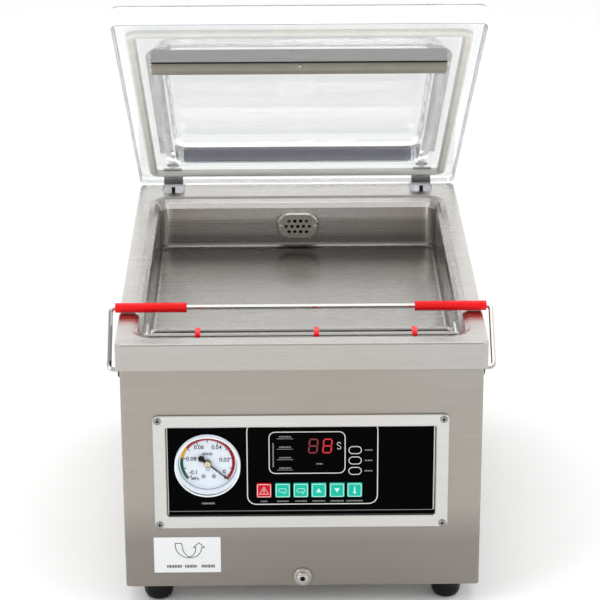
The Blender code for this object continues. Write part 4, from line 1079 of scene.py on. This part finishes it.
def pump_details():
    """The pump's oil sight glass, filler cap and bolts, and the grille over the motor's fan."""
    low, high, _ = span_of("pump_body")
    place = facing((PUMP_X, low.y, 78))
    profile = [(0, -0.5), (15, -0.5), (15, 2.2), (13.5, 3), (11, 3), (11, 1.6), (0, 1.6)]
    shape = turned(bmesh.new(), profile, place, 36)
    add_piece("oil_sight_ring", shape, "bar", "base")

    def bulge(u, v):
        return 2.0 + 0.8 * (1 - (u * u + v * v) / 113)

    shape = relief(bmesh.new(), 10.6, bulge, place, 8, 36)
    add_piece("oil_sight_glass", shape, "brass", "base", slot="clear_acrylic")
    profile = [(0, 0), (9, 0), (9, 1.2), (7.5, 2), (7.5, 7.5), (6.6, 8.4), (0, 8.4)]
    shape = turned(bmesh.new(), profile, upright((PUMP_X, -38, high.z)), 12)
    add_piece("oil_filler_cap", shape, "black", "base")
    bolt = [(0, -0.5), (4.2, -0.5), (4.2, 2.6), (3.6, 3.1), (0, 3.1)]
    for i, (x, z) in enumerate(((-66, 34), (26, 34), (-66, 106), (26, 106))):
        shape = turned(bmesh.new(), bolt, facing((x, low.y, z)), 6)
        add_piece(f"pump_bolt_{i + 1}", shape, "chrome", "base", 25)
    shape = bmesh.new()
    place = rearwards((PUMP_X, span_of("motor_fan_cover")[1].y, 96))
    for radius in (12, 20, 28, 36, 44):
        line(shape, circle(radius, 40), 1.6, -0.2, 0.7, place, closed=True)
    for start, end in zip(circle(9, 6), circle(47, 6)):
        line(shape, [start, end], 1.6, -0.2, 0.9, place)
    add_piece("fan_grille", shape, "black", "base")


def board_details():
    """Parts soldered on the circuit board, and its loom."""
    back = span_of("circuit_board")[1].y
    shape = bmesh.new()
    chips = ((-30, 150, 14, 8), (4, 132, 18, 7), (30, 158, 9, 9), (62, 120, 16, 20))
    chips += ((80, 160, 12, 10),)
    for x, z, wide, tall in chips:
        outline = rounded((-wide / 2, wide / 2), (-tall / 2, tall / 2), 0.5, 2)
        plate(shape, outline, 0.02, 3.2, rearwards((x, back, z)))
    add_piece("board_chips", shape, "black")
    shape = bmesh.new()
    can = [(0, 0.02), (4, 0.02), (4, 11), (3.4, 11.6), (0, 11.6)]
    for x, z in ((45, 135), (45, 150), (72, 140), (88, 130)):
        turned(shape, can, rearwards((x, back, z)), 20)
    add_piece("board_capacitors", shape, "bar")
    z = 112
    for i, (x, ink) in enumerate(((60, "ink_red"), (66, "ink_yellow"), (72, "ink_green"))):
        route = [(x, back + 1.6, z), (x, back + 14, z - 4), (x - 10, back + 26, z - 14)]
        route += [(-60 + 5 * i, back + 40, 96), (-104 + 3 * i, 60, 92)]
        route += [(-112 + 3 * i, 150, 88), (-112 + 3 * i, 191, 88)]
        shape = tube(bmesh.new(), smooth_path([at(*corner) for corner in route]), 1.3 * MM, 8)
        add_piece(f"loom_wire_{i + 1}", shape, ink, slot="red_plastic")


panel_prints()
display_prints()
key_marks()
dial_bands()
dial_marks()
needle_details()
gauge_cap()
panel_screws()
label()
housing_screw()
mains_details()
rear_details()
bail_washers()
lid_edge()
lid_hinge_details()
hinge_cheeks()
bar_details()
chamber_details()
hose()
pump_details()
board_details()


# -------- studio and camera


def make_floor():
    """White paper under and far behind the machine."""
    shape = bmesh.new()
    half = 6.0
    corners = oblong((-half, half), (-half, half))
    shape.faces.new([shape.verts.new((x, y, 0)) for x, y in corners])
    mesh = bpy.data.meshes.new("floor")
    shape.to_mesh(mesh)
    shape.free()
    floor = bpy.data.objects.new("floor", mesh)
    bpy.context.scene.collection.objects.link(floor)
    paint = Paint("floor_paper", (0.96, 0.96, 0.96), 0.0, 0.9)
    mesh.materials.append(paint.tint(paint.noise((3.0, 3.0, 3.0)), (0.98, 0.98, 0.98)).material)


def make_world(front, back):
    """A white studio tent, brightest behind the machine and dimmer at the front and overhead."""
    world = bpy.data.worlds.new("studio")
    world.use_nodes = True
    tree = world.node_tree
    background = tree.nodes["Background"]
    background.inputs["Color"].default_value = (1, 1, 1, 1)
    place = tree.nodes.new("ShaderNodeTexCoord")
    split = tree.nodes.new("ShaderNodeSeparateXYZ")
    tree.links.new(place.outputs["Generated"], split.inputs["Vector"])
    way = map_range(tree, split.outputs["Y"], (-0.4, 0.6), (front, back), smooth=True)
    overhead = map_range(tree, split.outputs["Z"], (0.45, 0.9), (1.0, 0.6), smooth=True)
    product = tree.nodes.new("ShaderNodeMath")
    product.operation = "MULTIPLY"
    tree.links.new(way, product.inputs[0])
    tree.links.new(overhead, product.inputs[1])
    tree.links.new(product.outputs["Value"], background.inputs["Strength"])
    bpy.context.scene.world = world


def add_light(name, place, size, energy):
    """A square softbox that looks at the machine's middle."""
    data = bpy.data.lights.new(name, "AREA")
    data.energy = energy
    data.size = size
    item = bpy.data.objects.new(name, data)
    bpy.context.scene.collection.objects.link(item)
    item.location = place
    item.rotation_euler = (Vector((0, 0, 0.2)) - Vector(place)).to_track_quat("-Z", "Y").to_euler()


def make_camera():
    """The camera in front, above and a little to the left."""
    focal, sensor, frame_width = 2391.6, 36.0, 600
    lower = 20  # the picture's middle is this far below the lens axis, in frame units
    pitch, yaw, roll = radians(21.448), radians(0.490), radians(-0.235)
    data = bpy.data.cameras.new("camera")
    data.lens = focal / frame_width * sensor
    data.sensor_width = sensor
    data.shift_y = lower / frame_width
    data.clip_start = 0.1
    item = bpy.data.objects.new("camera", data)
    bpy.context.scene.collection.objects.link(item)
    turn = Matrix.Rotation(-yaw, 4, "Z") @ Matrix.Rotation(pi / 2 - pitch, 4, "X")
    turn = turn @ Matrix.Rotation(roll, 4, "Z")
    item.matrix_world = Matrix.Translation(at(-18.1, -2171.9, TOP + 787.3)) @ turn
    bpy.context.scene.camera = item


make_floor()
make_world(0.82, 1.55)
bpy.context.scene.view_settings.view_transform = "Standard"
add_light("softbox_left", (-1.6, -1.3, 1.7), 1.3, 14)
add_light("softbox_right", (1.7, -1.0, 1.3), 1.0, 7)
add_light("softbox_top", (0, -0.2, 2.2), 1.6, 12)
make_camera()
